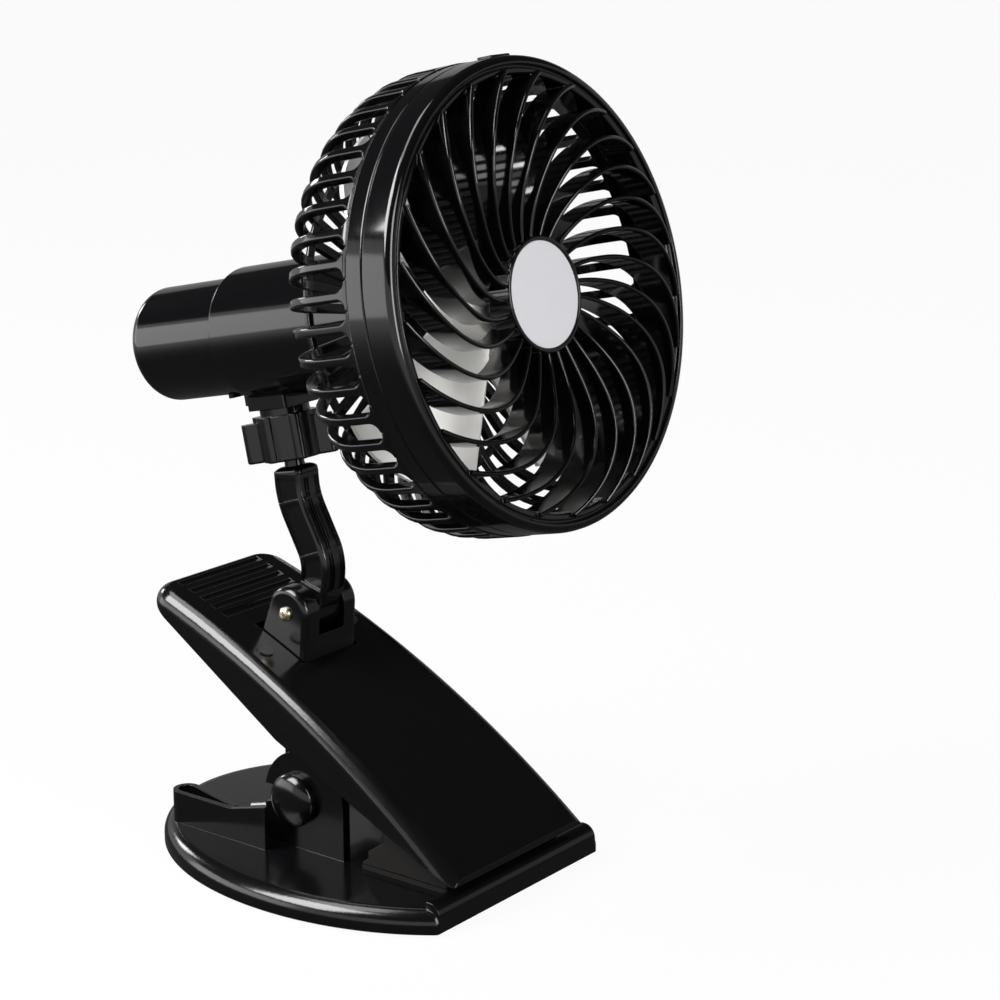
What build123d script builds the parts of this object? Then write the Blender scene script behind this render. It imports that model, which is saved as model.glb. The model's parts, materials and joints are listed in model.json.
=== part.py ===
"""Clip-on fan: a spring clip with a table foot, a folding arm, a ball joint and a caged fan head.

Millimetres. +Z is up, +X points to the clip's mouth, and the origin is the centre of the foot's underside.
"""

import os
from math import acos, atan2, ceil, cos, degrees, hypot, pi, radians, sin, sqrt

from build123d import *

os.makedirs("parts", exist_ok=True)

# Fits
pin_fit = 0.03            # a pressed pin or screw in its hole
turn_fit = 0.08           # a shaft or ball that turns in its seat
slide_fit = 0.1           # a cover or bulkhead that slides in
clear_gap = 0.3           # moving faces that pass each other

# Foot and lower jaw
base_center = -3.3
base_half_length = 74.0
base_half_width = 56.2
base_height = 7.4
base_round = 4.6
base_wall = 2.4
lip_front = 50.2
lip_half_width = 38.0
lip_depth = 5.0
lip_height = 9.4
lip_round = 4.0
lip_corner = 1.6
foot_pad_thickness = 0.8
foot_pad_inset = 2.0
foot_plate_thickness = 1.6
foot_boss_radius = 4.2
foot_screw_radius = 1.5
foot_screw_head = 3.0
foot_screw_length = 4.0
foot_screw_spots = ((30, -30), (30, 30), (-50, -20), (-50, 20))
grip_outer = 34.0
grip_wall = 1.6
grip_loop = 7.0
grip_front = -20.0
grip_rear = -56.0
grip_tail = -34.0
grip_height = 17.5
grip_rise = 4.0

# Hinge of the clip
pin_x = -13.8
pin_z = 23.0
pin_radius = 2.5
ear_inner = 23.5
ear_thickness = 3.0
ear_radius = 15.4
ear_ahead = 3.0
knuckle_radius = 7.0
knuckle_thickness = 3.0
cap_radius = 8.3
cap_height = 4.9
cap_skirt = 3.0
cap_socket = 2.6

# Torsion spring on the pin
spring_radius = 6.5
wire_radius = 0.9
spring_pitch = 2.5
spring_turns = 6
spring_foot_x = -46.0
spring_top_x = -53.0
spring_rest_gap = 0.15

# Upper jaw
jaw_rear = -74.0
jaw_front = 50.2
jaw_rear_half = 27.0
jaw_front_half = 32.5
jaw_arc = ((-68.0, 79.0), (-8.0, 53.4), (50.0, 14.4))
jaw_skirt_rear = 75.0
jaw_knee = (-19.0, 41.4)
jaw_nose = (49.4, 12.4)
jaw_wall = 2.2
jaw_shoulder = 5.0
jaw_inner_round = 1.2
jaw_corner = 9.0
jaw_floor = 2.0
jaw_floor_rear = 18.0
panel_inset = 4.0
panel_depth = 0.5
groove_count = 5
groove_pitch = 4.6
groove_first = -67.5
groove_radius = 1.6
groove_depth = 0.7
lower_pad_thickness = 1.5
lower_pad_rear = 12.0
jaw_pad_front = 44.2
jaw_pad_half = 27.0
jaw_pad_rear = 11.8
jaw_pad_toe = (2.6, 1.9)
jaw_pad_riser = 2.3
jaw_pad_slope = (6.0, 4.2)

# Arm bracket
pivot_x = -29.5
pivot_z = 74.4
cheek_radius = 8.0
cheek_half = 12.0
cheek_rear = -41.5
cheek_front = -22.6
cheek_round = 2.0
window_gap = 0.5
bracket_foot_half = 22.5
bracket_foot_length = 24.0
bracket_foot_thickness = 2.5
bracket_screw_y = 19.5
bracket_screw_radius = 1.4
bracket_screw_head = 2.6
bracket_screw_length = 5.5
pivot_screw_radius = 1.5
pivot_head_radius = 2.2
pivot_head_height = 1.5
pivot_nut_flats = 5.5
pivot_nut_height = 2.4

# Arm
arm_width = 10.8
arm_depth = 10.8
arm_edge = 2.2
arm_barrel = 6.6
arm_upper_bend = (-34.3, 108.0)
arm_upper_radius = 24.0
arm_lower_bend = (-22.5, 86.5)
arm_lower_radius = 15.0
arm_rib = 1.5
arm_panel_depth = 1.0
arm_panels = ((0.035, 0.19), (0.215, 0.575), (0.60, 0.80))

# Head
head_x = 59.3
head_z = 180.5
head_tilt = 12.45

# Ball joint under the head
stem_s = -106.0
stem_drop = 32.0
ball_radius = 5.0
seat_thickness = 1.1
seat_top_angle = 40.0
seat_bottom_angle = 122.0
seat_slit = 1.0
neck_radius = 3.0
neck_start = 7.4
shoulder_start = 10.8
stub_radius = 7.6
block_width = 15.6
block_drop = 22.8
nut_radius = 9.2
nut_top_drop = 25.0
nut_bottom_drop = 38.9
nut_lobes = 6
nut_lobe_radius = 2.2
nut_lobe_reach = 10.4
nut_wing_reach = 14.2
nut_wing_drop = 1.8
nut_mouth_drop = 3.4
nut_flare = 6.5
nut_edge = 0.65

# Bezel and front grille
bezel_radius = 66.0
bezel_width = 5.5
bezel_rear = -9.5
bezel_wall = 2.0
bezel_round = 1.8
rim_round = 1.0
rim_front = -0.4
vane_count = 25
vane_thickness = 1.3
vane_depth = 9.0
vane_first = 12.5
vane_sweep = (23.3, 1.0, 16.9)
dome_front = -1.6
dome_curve = (7.09, 22.28, -26.33)
hub_radius = 16.3
hub_wall = 1.2
hub_depth = 8.0
hub_front = -0.6
badge_thickness = 1.6
badge_front = -0.9
badge_ledge = 1.6
badge_edge = 0.4
tab_width = 9.0
tab_height = 0.8
tab_length = 5.0

# Rear cage
cage_proud = 0.3
cage_band_front = -9.6
cage_band_rear = -15.7
cage_wall = 2.6
cage_band_wall = 3.6
cage_spigot = 4.0
cage_embed = 0.6
cage_back = -47.0
cage_bend = 21.0
cage_ribs = 49
cage_first = 272.0
cage_rib_width = 2.6
cage_ring_inset = 18.0
cage_ring_width = 2.6
cage_plate = 29.0
cage_plate_thickness = 3.2
cage_screw_count = 3
cage_screw_circle = 15.2
cage_screw_radius = 1.2
cage_screw_head = 2.5
cage_screw_head_height = 1.6
cage_screw_length = 10.0
cage_boss_radius = 3.1
cage_boss_depth = 12.0

# Motor housing and battery
housing_radius = 20.2
housing_wall = 2.2
housing_rear = -112.4
housing_edge = 0.8
spigot_radius = 15.0
spigot_wall = 1.6
spigot_length = 8.0
cap_outer = 17.6
cap_rear = -150.0
cap_end_wall = 2.0
cap_end_round = 4.5
lug_width = 8.0
lug_length = 11.0
lug_height = 1.2
thumb_rib = 0.9
cell_radius = 9.2
cell_length = 65.0
holder_wall = 1.4
holder_front = -78.0
holder_bulkhead = 2.0
contact_radius = 5.0
contact_thickness = 0.5

# Motor and rotor
motor_radius = 12.0
motor_length = 24.0
boss_radius = 4.0
boss_length = 3.0
shaft_radius = 1.0
shaft_front = -18.0
rotor_hub_radius = 11.0
rotor_hub_front = -16.0
rotor_hub_rear = -36.0
rotor_hub_wall = 1.6
rotor_hub_round = 3.0
rotor_core = 3.2
blade_count = 4
blade_gap = 3.5
blade_middle = -26.0
blade_thickness = 1.4
blade_root_chord = 16.0
blade_root_pitch = 42.0
blade_tip_chord = 42.0
blade_tip_pitch = 22.0
blade_camber = 0.12

# Controls on the far side of the housing
board_length = 26.0
board_width = 16.0
board_thickness = 1.2
board_s = -95.0
switch_size = 6.0
switch_body = 1.7
switch_height = 2.4
switch_plunger = 2.0
button_s = -89.0
button_radius = 4.4
button_flange = 5.4
button_flange_thickness = 1.2
button_proud = 1.2
button_travel = 0.8
button_ring = 6.8
button_ring_proud = 0.4
lens_s = -97.5
lens_radius = 1.3
port_s = -104.0
port_length = 7.4
port_width = 2.7
port_wall = 0.4
port_tongue = 0.6

# Head frame: s runs forward along the fan's axis, r out from it
axis_dir = Vector(cos(radians(head_tilt)), 0, sin(radians(head_tilt)))
up_dir = Vector(-sin(radians(head_tilt)), 0, cos(radians(head_tilt)))
head_origin = Vector(head_x, 0, head_z)
HEAD = Plane(origin=head_origin, x_dir=up_dir, z_dir=axis_dir)
HEAD_SECTION = Plane(origin=head_origin, x_dir=up_dir, z_dir=(0, 1, 0))
HEAD_AXIS = Axis(head_origin, axis_dir)

# Ways to look for a corner in a section of the head
OUT_FRONT = Axis((0, 0, 0), (1, 1, 0))
OUT_BACK = Axis((0, 0, 0), (1, -1, 0))
IN_FRONT = Axis((0, 0, 0), (-1, 2, 0))

# Stem frame: the ball's centre, with the stem standing along the head's up direction
ball_center = head_origin + axis_dir * stem_s - up_dir * stem_drop
STEM = Plane(origin=ball_center, x_dir=axis_dir, z_dir=up_dir)
STEM_SECTION = Plane(origin=ball_center, x_dir=axis_dir, z_dir=(0, -1, 0))
STEM_AXIS = Axis(ball_center, up_dir)

# Values that follow from the sizes above
seat_inner = ball_radius + turn_fit
seat_outer = seat_inner + seat_thickness
socket_radius = seat_outer + turn_fit
housing_bore = housing_radius - housing_wall
bezel_inner = bezel_radius - bezel_width
blade_tip = bezel_inner - blade_gap
cage_radius = bezel_radius + cage_proud
cage_ring_radius = cage_radius - cage_ring_inset
holder_inner = cell_radius + slide_fit
holder_outer = holder_inner + holder_wall
knuckle_outer = ear_inner - clear_gap
pivot = (pivot_x, pivot_z)
slot_half = arm_width / 2 + clear_gap


def circle_through(first, second, third):
    """Centre and radius of the circle through three points."""
    ax, az = first
    bx, bz = second
    cx, cz = third
    d = 2 * (ax * (bz - cz) + bx * (cz - az) + cx * (az - bz))
    a2 = ax * ax + az * az
    b2 = bx * bx + bz * bz
    c2 = cx * cx + cz * cz
    ux = (a2 * (bz - cz) + b2 * (cz - az) + c2 * (az - bz)) / d
    uz = (a2 * (cx - bx) + b2 * (ax - cx) + c2 * (bx - ax)) / d
    return ux, uz, hypot(ax - ux, az - uz)


arc_x, arc_z, arc_radius = circle_through(*jaw_arc)


def jaw_top(x, below=0.0):
    """Height of the jaw's top arc at x, or of an arc that lies that far below it."""
    return arc_z + sqrt((arc_radius - below) ** 2 - (x - arc_x) ** 2)


def jaw_half(x, inset=0.0):
    """Half width of the jaw's plan at x."""
    share = (x - jaw_rear) / (jaw_front - jaw_rear)
    return jaw_rear_half + share * (jaw_front_half - jaw_rear_half) - inset


def skirt_line(x):
    """Height of the jaw's lower edge between knee and nose."""
    share = (x - jaw_knee[0]) / (jaw_nose[0] - jaw_knee[0])
    return jaw_knee[1] + share * (jaw_nose[1] - jaw_knee[1])


def base_outline(inset):
    """Oval of the foot with a straight front, drawn in the sketch that is open."""
    with Locations((base_center, 0)):
        Ellipse(base_half_length - inset, base_half_width - inset)
    with Locations((lip_front - inset, 0)):
        Rectangle(
            2 * base_half_length,
            4 * base_half_width,
            align=(Align.MIN, Align.CENTER),
            mode=Mode.SUBTRACT,
        )


# Foot and lower jaw
with BuildPart() as clip_base:
    with BuildSketch(Plane.XY.offset(foot_pad_thickness)) as foot_sketch:
        base_outline(0)
        fillet(foot_sketch.vertices(), lip_corner)
    extrude(amount=base_height - foot_pad_thickness)
    top_edges = clip_base.faces().sort_by(Axis.Z)[-1].edges()
    fillet(top_edges, base_round)
    with BuildSketch(Plane.XZ) as lip_sketch:
        with Locations((lip_front, foot_pad_thickness)):
            Rectangle(lip_depth, lip_height - foot_pad_thickness, align=(Align.MAX, Align.MIN))
        fillet(lip_sketch.vertices().group_by(Axis.Y)[-1].sort_by(Axis.X)[-1], lip_round)
    extrude(amount=lip_half_width, both=True)
    with BuildSketch(Plane.XY.offset(foot_pad_thickness)) as hollow_sketch:
        base_outline(base_wall)
        with Locations((lip_front, 0)):
            Rectangle(2 * (lip_depth + base_wall), 4 * base_half_width, mode=Mode.SUBTRACT)
    extrude(amount=base_height - foot_pad_thickness - base_wall, mode=Mode.SUBTRACT)
    with BuildSketch(Plane.XY.offset(base_height - base_wall)):
        with Locations(*foot_screw_spots):
            Circle(foot_boss_radius)
    extrude(amount=foot_pad_thickness + foot_plate_thickness - base_height + base_wall)
    with BuildSketch(Plane.XY.offset(foot_pad_thickness)):
        with Locations(*foot_screw_spots):
            Circle(foot_screw_radius + pin_fit)
    extrude(amount=foot_screw_length + pin_fit, mode=Mode.SUBTRACT)
    for side in (-1, 1):
        with BuildSketch(Plane.XZ.offset(side * (ear_inner + ear_thickness / 2))):
            with Locations((pin_x + ear_ahead, pin_z)):
                Circle(ear_radius)
                Rectangle(
                    2 * ear_radius, pin_z - base_height + base_wall / 2, align=(Align.CENTER, Align.MAX)
                )
            with Locations((pin_x, pin_z)):
                Circle(pin_radius + pin_fit, mode=Mode.SUBTRACT)
        extrude(amount=ear_thickness / 2, both=True)
    loop_half = grip_loop / 2
    loop_y = grip_outer - grip_wall / 2
    for side in (-1, 1):
        with BuildSketch(Plane.XY.offset(base_height - base_wall / 2)):
            with BuildLine():
                Line((grip_front, side * loop_y), (grip_rear, side * loop_y))
                ThreePointArc(
                    (grip_rear, side * loop_y),
                    (grip_rear - loop_half, side * (loop_y - loop_half)),
                    (grip_rear, side * (loop_y - grip_loop)),
                )
                Line((grip_rear, side * (loop_y - grip_loop)), (grip_tail, side * (loop_y - grip_wall)))
            trace(line_width=grip_wall)
        extrude(amount=grip_height + grip_rise - base_height + base_wall / 2)
    with BuildSketch(Plane.XZ) as rise_sketch:
        with BuildLine():
            Polyline(
                (grip_front + grip_wall, grip_height + grip_rise),
                (grip_tail, grip_height),
                (grip_rear - grip_loop, grip_height),
                (grip_rear - grip_loop, grip_height + 2 * grip_rise),
                (grip_front + grip_wall, grip_height + 2 * grip_rise),
                close=True,
            )
        make_face()
    extrude(amount=base_half_width, both=True, mode=Mode.SUBTRACT)

with BuildPart() as base_plate:
    with BuildSketch(Plane.XY.offset(foot_pad_thickness)):
        base_outline(base_wall + slide_fit)
        with Locations((lip_front, 0)):
            Rectangle(
                2 * (lip_depth + base_wall + slide_fit), 4 * base_half_width, mode=Mode.SUBTRACT
            )
        with Locations(*foot_screw_spots):
            Circle(foot_screw_radius + pin_fit, mode=Mode.SUBTRACT)
    extrude(amount=foot_plate_thickness)
    with BuildSketch(Plane.XY.offset(foot_pad_thickness)):
        with Locations(*foot_screw_spots):
            Circle(foot_screw_head + pin_fit)
    extrude(amount=foot_plate_thickness / 2, mode=Mode.SUBTRACT)

with BuildPart() as base_screws:
    with BuildSketch(Plane.XY.offset(foot_pad_thickness)):
        with Locations(*foot_screw_spots):
            Circle(foot_screw_head)
    extrude(amount=foot_plate_thickness / 2)
    with BuildSketch(Plane.XY.offset(foot_pad_thickness)):
        with Locations(*foot_screw_spots):
            Circle(foot_screw_radius)
    extrude(amount=foot_screw_length)

with BuildPart() as base_pad:
    with BuildSketch(Plane.XY) as pad_sketch:
        base_outline(foot_pad_inset)
        fillet(pad_sketch.vertices(), lip_corner)
    extrude(amount=foot_pad_thickness)

with BuildPart() as lower_jaw_pad:
    with BuildSketch(Plane.XY.offset(base_height)) as lower_pad_sketch:
        with Locations(((lower_pad_rear + jaw_pad_front) / 2, 0)):
            RectangleRounded(jaw_pad_front - lower_pad_rear, 2 * jaw_pad_half, jaw_pad_riser)
    extrude(amount=lower_pad_thickness)

# Hinge pin, its caps and the spring round it
pin_half = ear_inner + ear_thickness + cap_socket
with BuildPart() as hinge_pin:
    with BuildSketch(Plane.XZ):
        with Locations((pin_x, pin_z)):
            Circle(pin_radius)
    extrude(amount=pin_half - slide_fit, both=True)

with BuildPart() as hinge_caps:
    for side in (-1, 1):
        with BuildSketch(Plane(origin=(pin_x, 0, pin_z), x_dir=(1, 0, 0), z_dir=(0, 0, 1))):
            ear_face = side * (ear_inner + ear_thickness)
            with BuildLine():
                Line((pin_radius + pin_fit, ear_face), (cap_radius, ear_face))
                Line((cap_radius, ear_face), (cap_radius, ear_face + side * cap_skirt))
                rise = cap_height - cap_skirt
                dome = (cap_radius ** 2 + rise ** 2) / (2 * rise)
                half_reach = cap_radius / 2
                half_rise = sqrt(dome ** 2 - half_reach ** 2) - dome + rise
                ThreePointArc(
                    (cap_radius, ear_face + side * cap_skirt),
                    (half_reach, ear_face + side * (cap_skirt + half_rise)),
                    (0, ear_face + side * cap_height),
                )
                Polyline(
                    (0, ear_face + side * cap_height),
                    (0, ear_face + side * cap_socket),
                    (pin_radius + pin_fit, ear_face + side * cap_socket),
                    (pin_radius + pin_fit, ear_face),
                )
            make_face()
        revolve(axis=Axis((pin_x, 0, pin_z), (0, 1, 0)))


def tangent_angle(x, z, side):
    """Angle on the coil where a straight leg to (x, z) leaves it."""
    reach = hypot(x - pin_x, z - pin_z)
    return degrees(atan2(z - pin_z, x - pin_x)) + side * degrees(acos(spring_radius / reach))


def coil_point(turn):
    """Point on the coil's centre line after that many degrees."""
    y = spring_pitch * (turn - coil_middle) / 360
    return Vector(pin_x + spring_radius * cos(radians(turn)), y, pin_z + spring_radius * sin(radians(turn)))


def coil_tangent(turn):
    """Direction of the coil's centre line after that many degrees."""
    climb = spring_pitch / (2 * pi)
    way = Vector(-spring_radius * sin(radians(turn)), climb, spring_radius * cos(radians(turn)))
    return way.normalized()


def leg_length(x, z):
    """Length of the straight leg from the coil to (x, z)."""
    flat = sqrt((x - pin_x) ** 2 + (z - pin_z) ** 2 - spring_radius ** 2)
    return flat / hypot(spring_radius, spring_pitch / (2 * pi)) * spring_radius


foot_leg = (spring_foot_x, base_height + wire_radius + spring_rest_gap)
top_leg = (spring_top_x, jaw_top(spring_top_x, jaw_wall + spring_rest_gap) - 2 * wire_radius)
coil_start = tangent_angle(*foot_leg, 1) - 360
coil_end = tangent_angle(*top_leg, -1) + 360 * spring_turns
coil_middle = (coil_start + coil_end) / 2
half_turns = ceil((coil_end - coil_start) / 180)
coil_step = (coil_end - coil_start) / half_turns
leg_start = coil_point(coil_start) - coil_tangent(coil_start) * leg_length(*foot_leg)
leg_end = coil_point(coil_end) + coil_tangent(coil_end) * leg_length(*top_leg)

with BuildPart() as clip_spring:
    with BuildLine() as spring_path:
        Line(leg_start, coil_point(coil_start))
        for half in range(half_turns):
            p0 = coil_point(coil_start + half * coil_step)
            p1 = coil_point(coil_start + (half + 1) * coil_step)
            t0 = coil_tangent(coil_start + half * coil_step)
            t1 = coil_tangent(coil_start + (half + 1) * coil_step)
            span = p1 - p0
            along = span.dot(t0 + t1)
            spread = 2 * (1 - t0.dot(t1))
            arm_length = (sqrt(along ** 2 + spread * span.dot(span)) - along) / spread
            joint = (p0 + t0 * arm_length + p1 - t1 * arm_length) * 0.5
            first_arc = TangentArc(p0, joint, tangent=t0)
            TangentArc(joint, p1, tangent=first_arc % 1)
        Line(coil_point(coil_end), leg_end)
    with BuildSketch(Plane(origin=leg_start, z_dir=coil_tangent(coil_start))):
        Circle(wire_radius)
    sweep(path=spring_path.wires()[0])

sample_angle = 10
sample_count = int((coil_end - coil_start) / sample_angle)
coil_samples = [coil_point(coil_start + sample_angle * i) for i in range(sample_count)]
near_gap = min(
    (a - b).length
    for i, a in enumerate(coil_samples)
    for b in coil_samples[i + 180 // sample_angle:]
)
print("least gap between the spring's turns:", round(near_gap - 2 * wire_radius, 3))


# Upper jaw: a shell under one long arc, wider at the mouth
def under_arc(rear, front, below):
    """Side view of the space under the jaw's arc, or under one that lies lower."""
    with BuildSketch(Plane.XZ) as side:
        with BuildLine():
            ThreePointArc(
                (rear, jaw_top(rear, below)),
                (jaw_arc[1][0], jaw_top(jaw_arc[1][0], below)),
                (front, jaw_top(front, below)),
            )
            Polyline(
                (front, jaw_top(front, below)),
                (front, -jaw_front_half),
                (rear, -jaw_front_half),
                (rear, jaw_top(rear, below)),
            )
        make_face()
    return side.sketch


def jaw_plan(inset):
    """Plan of the jaw, drawn in by the inset."""
    rear = jaw_rear + inset
    front = jaw_front - inset
    with BuildSketch(Plane.XY.offset(-jaw_front_half)) as plan:
        with BuildLine():
            Polyline(
                (rear, -jaw_half(rear, inset)),
                (front, -jaw_half(front, inset)),
                (front, jaw_half(front, inset)),
                (rear, jaw_half(rear, inset)),
                close=True,
            )
        make_face()
        fillet(plan.vertices().group_by(Axis.X)[0], jaw_corner - inset)
    return plan.sketch


jaw_tall = 2 * jaw_front_half + jaw_arc[0][1]
foot_middle = (cheek_rear + cheek_front) / 2
foot_slope = atan2(arc_x - foot_middle, jaw_top(foot_middle, jaw_wall) - arc_z)
PANEL = Plane(
    origin=(foot_middle, 0, jaw_top(foot_middle, jaw_wall)),
    x_dir=(cos(foot_slope), 0, sin(foot_slope)),
    z_dir=(-sin(foot_slope), 0, cos(foot_slope)),
)
screw_spots = ((0, -bracket_screw_y), (0, bracket_screw_y))

with BuildPart() as jaw_hollow:
    hollow_side = under_arc(jaw_rear + jaw_wall, jaw_front - jaw_wall, jaw_wall)
    extrude(hollow_side, amount=2 * jaw_front_half, both=True)
    extrude(jaw_plan(jaw_wall), amount=jaw_tall, mode=Mode.INTERSECT)
    arc_face = jaw_hollow.faces().filter_by(GeomType.CYLINDER).sort_by(SortBy.AREA)[-1]
    fillet(arc_face.edges().sort_by(Axis.X)[:-1], jaw_inner_round)
    floor_rise = jaw_floor * hypot(jaw_nose[0] - jaw_knee[0], jaw_nose[1] - jaw_knee[1])
    floor_rise = floor_rise / (jaw_nose[0] - jaw_knee[0])
    with BuildSketch(Plane.XZ):
        Polygon(
            (jaw_floor_rear, skirt_line(jaw_floor_rear) + floor_rise),
            (jaw_front, skirt_line(jaw_front) + floor_rise),
            (jaw_front, -jaw_front_half),
            (jaw_floor_rear, -jaw_front_half),
            align=None,
        )
    extrude(amount=2 * jaw_front_half, both=True, mode=Mode.SUBTRACT)

with BuildPart() as jaw_panel:
    extrude(under_arc(jaw_rear, jaw_front, 0), amount=2 * jaw_front_half, both=True)
    extrude(jaw_plan(panel_inset), amount=jaw_tall, mode=Mode.INTERSECT)
    extrude(
        under_arc(jaw_rear - panel_inset, jaw_front, panel_depth),
        amount=2 * jaw_front_half,
        both=True,
        mode=Mode.SUBTRACT,
    )

with BuildPart() as upper_jaw:
    extrude(under_arc(jaw_rear, jaw_front, 0), amount=2 * jaw_front_half, both=True)
    extrude(jaw_plan(0), amount=jaw_tall, mode=Mode.INTERSECT)
    arc_face = upper_jaw.faces().filter_by(GeomType.CYLINDER).sort_by(SortBy.AREA)[-1]
    fillet(arc_face.edges().sort_by(Axis.X)[:-1], jaw_shoulder)
    with BuildSketch(Plane.XZ):
        with BuildLine():
            Polyline(
                (jaw_rear - jaw_wall, jaw_skirt_rear), (jaw_rear, jaw_skirt_rear), jaw_knee, jaw_nose,
                (jaw_front + jaw_wall, jaw_nose[1]), (jaw_front + jaw_wall, -2 * jaw_front_half),
                (jaw_rear - jaw_wall, -2 * jaw_front_half), close=True,
            )
        make_face()
    extrude(amount=2 * jaw_front_half, both=True, mode=Mode.SUBTRACT)
    add(jaw_hollow.part, mode=Mode.SUBTRACT)
    add(jaw_panel.part, mode=Mode.SUBTRACT)
    with BuildSketch(Plane.XZ):
        for groove in range(groove_count):
            groove_x = groove_first + groove * groove_pitch
            with Locations((groove_x, jaw_top(groove_x, panel_depth) + groove_radius - groove_depth)):
                Circle(groove_radius)
    extrude(amount=jaw_rear_half - panel_inset - jaw_shoulder, both=True, mode=Mode.SUBTRACT)
    for side in (-1, 1):
        with BuildSketch(Plane.XZ.offset(side * (knuckle_outer - knuckle_thickness / 2))):
            with Locations((pin_x, pin_z)):
                Circle(knuckle_radius)
            with BuildLine():
                rear_root = pin_x - knuckle_radius
                front_root = pin_x + 2 * knuckle_radius
                Polyline(
                    (pin_x - knuckle_radius, pin_z), (pin_x + knuckle_radius, pin_z),
                    (front_root, jaw_top(front_root, jaw_wall / 2)),
                    (rear_root, jaw_top(rear_root, jaw_wall / 2)), close=True,
                )
            make_face()
            with Locations((pin_x, pin_z)):
                Circle(pin_radius + turn_fit, mode=Mode.SUBTRACT)
        extrude(amount=knuckle_thickness / 2, both=True)
    with BuildSketch(Plane.XY.offset(jaw_knee[1])):
        with Locations((foot_middle, 0)):
            Rectangle(cheek_front - cheek_rear + 2 * window_gap, 2 * cheek_half + 2 * window_gap)
    extrude(amount=jaw_arc[0][1] - jaw_knee[1], mode=Mode.SUBTRACT)
    with BuildSketch(PANEL.offset(-jaw_wall)):
        with Locations(*screw_spots):
            Circle(bracket_screw_radius + pin_fit)
    extrude(amount=3 * jaw_wall, mode=Mode.SUBTRACT)

pad_bottom = base_height + lower_pad_thickness + clear_gap
with BuildPart() as upper_jaw_pad:
    with BuildSketch(Plane.XZ):
        heel_x = jaw_pad_rear + jaw_pad_toe[0]
        heel_z = pad_bottom + jaw_pad_toe[1]
        back_x = heel_x + jaw_pad_slope[0]
        Polygon(
            (jaw_pad_rear, pad_bottom), (heel_x, heel_z), (heel_x, heel_z + jaw_pad_riser),
            (back_x, heel_z + jaw_pad_riser + jaw_pad_slope[1]), (back_x, skirt_line(back_x)),
            (jaw_pad_front, skirt_line(jaw_pad_front)), (jaw_pad_front, pad_bottom),
            align=None,
        )
    extrude(amount=jaw_pad_half, both=True)

# Clevis that carries the arm
foot_sag = arc_radius - jaw_wall - sqrt((arc_radius - jaw_wall) ** 2 - (bracket_foot_length / 2) ** 2)
foot_top = PANEL.offset(-foot_sag - pin_fit)
with BuildPart() as arm_bracket:
    with BuildSketch(Plane.XZ):
        with BuildLine():
            CenterArc(pivot, cheek_radius, 0, 360)
            Line(
                (cheek_rear, jaw_top(cheek_rear, 2 * jaw_wall)),
                (cheek_front, jaw_top(cheek_front, 2 * jaw_wall)),
            )
        make_hull()
    extrude(amount=cheek_half, both=True)
    outer_rims = arm_bracket.edges().filter_by(GeomType.CIRCLE)
    fillet(outer_rims, cheek_round)
    with BuildSketch(foot_top):
        Rectangle(bracket_foot_length, 2 * bracket_foot_half)
    extrude(amount=-bracket_foot_thickness)
    with BuildSketch(Plane.XZ):
        with Locations((pivot_x, pivot_z - arm_barrel - clear_gap)):
            Rectangle(4 * cheek_radius, 4 * cheek_radius, align=(Align.CENTER, Align.MIN))
    extrude(amount=slot_half, both=True, mode=Mode.SUBTRACT)
    with BuildSketch(Plane.XZ):
        with Locations(pivot):
            Circle(pivot_screw_radius + pin_fit)
    extrude(amount=2 * cheek_half, both=True, mode=Mode.SUBTRACT)
    with BuildSketch(foot_top):
        with Locations(*screw_spots):
            Circle(bracket_screw_radius + pin_fit)
    extrude(amount=-2 * bracket_foot_thickness, mode=Mode.SUBTRACT)

with BuildPart() as bracket_screws:
    screw_face = PANEL.offset(jaw_wall - panel_depth + pin_fit)
    with BuildSketch(screw_face):
        with Locations(*screw_spots):
            Circle(bracket_screw_head)
    extrude(amount=panel_depth)
    with BuildSketch(screw_face):
        with Locations(*screw_spots):
            Circle(bracket_screw_radius)
    extrude(amount=-bracket_screw_length)

with BuildPart() as arm_pivot_screw:
    near_face = Plane.XZ.offset(cheek_half)
    with BuildSketch(near_face):
        with Locations(pivot):
            Circle(pivot_head_radius)
    extrude(amount=pivot_head_height)
    fillet(arm_pivot_screw.edges().filter_by(GeomType.CIRCLE).sort_by(Axis.Y)[0], pivot_head_height / 2)
    with BuildSketch(near_face):
        with Locations(pivot):
            Circle(pivot_screw_radius)
    extrude(amount=-(2 * cheek_half + pivot_nut_height))

with BuildPart() as arm_pivot_nut:
    with BuildSketch(Plane.XZ.offset(-cheek_half)):
        with Locations(pivot):
            RegularPolygon(pivot_nut_flats / 2, 6, major_radius=False)
            Circle(pivot_screw_radius + pin_fit, mode=Mode.SUBTRACT)
    extrude(amount=-pivot_nut_height)

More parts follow.
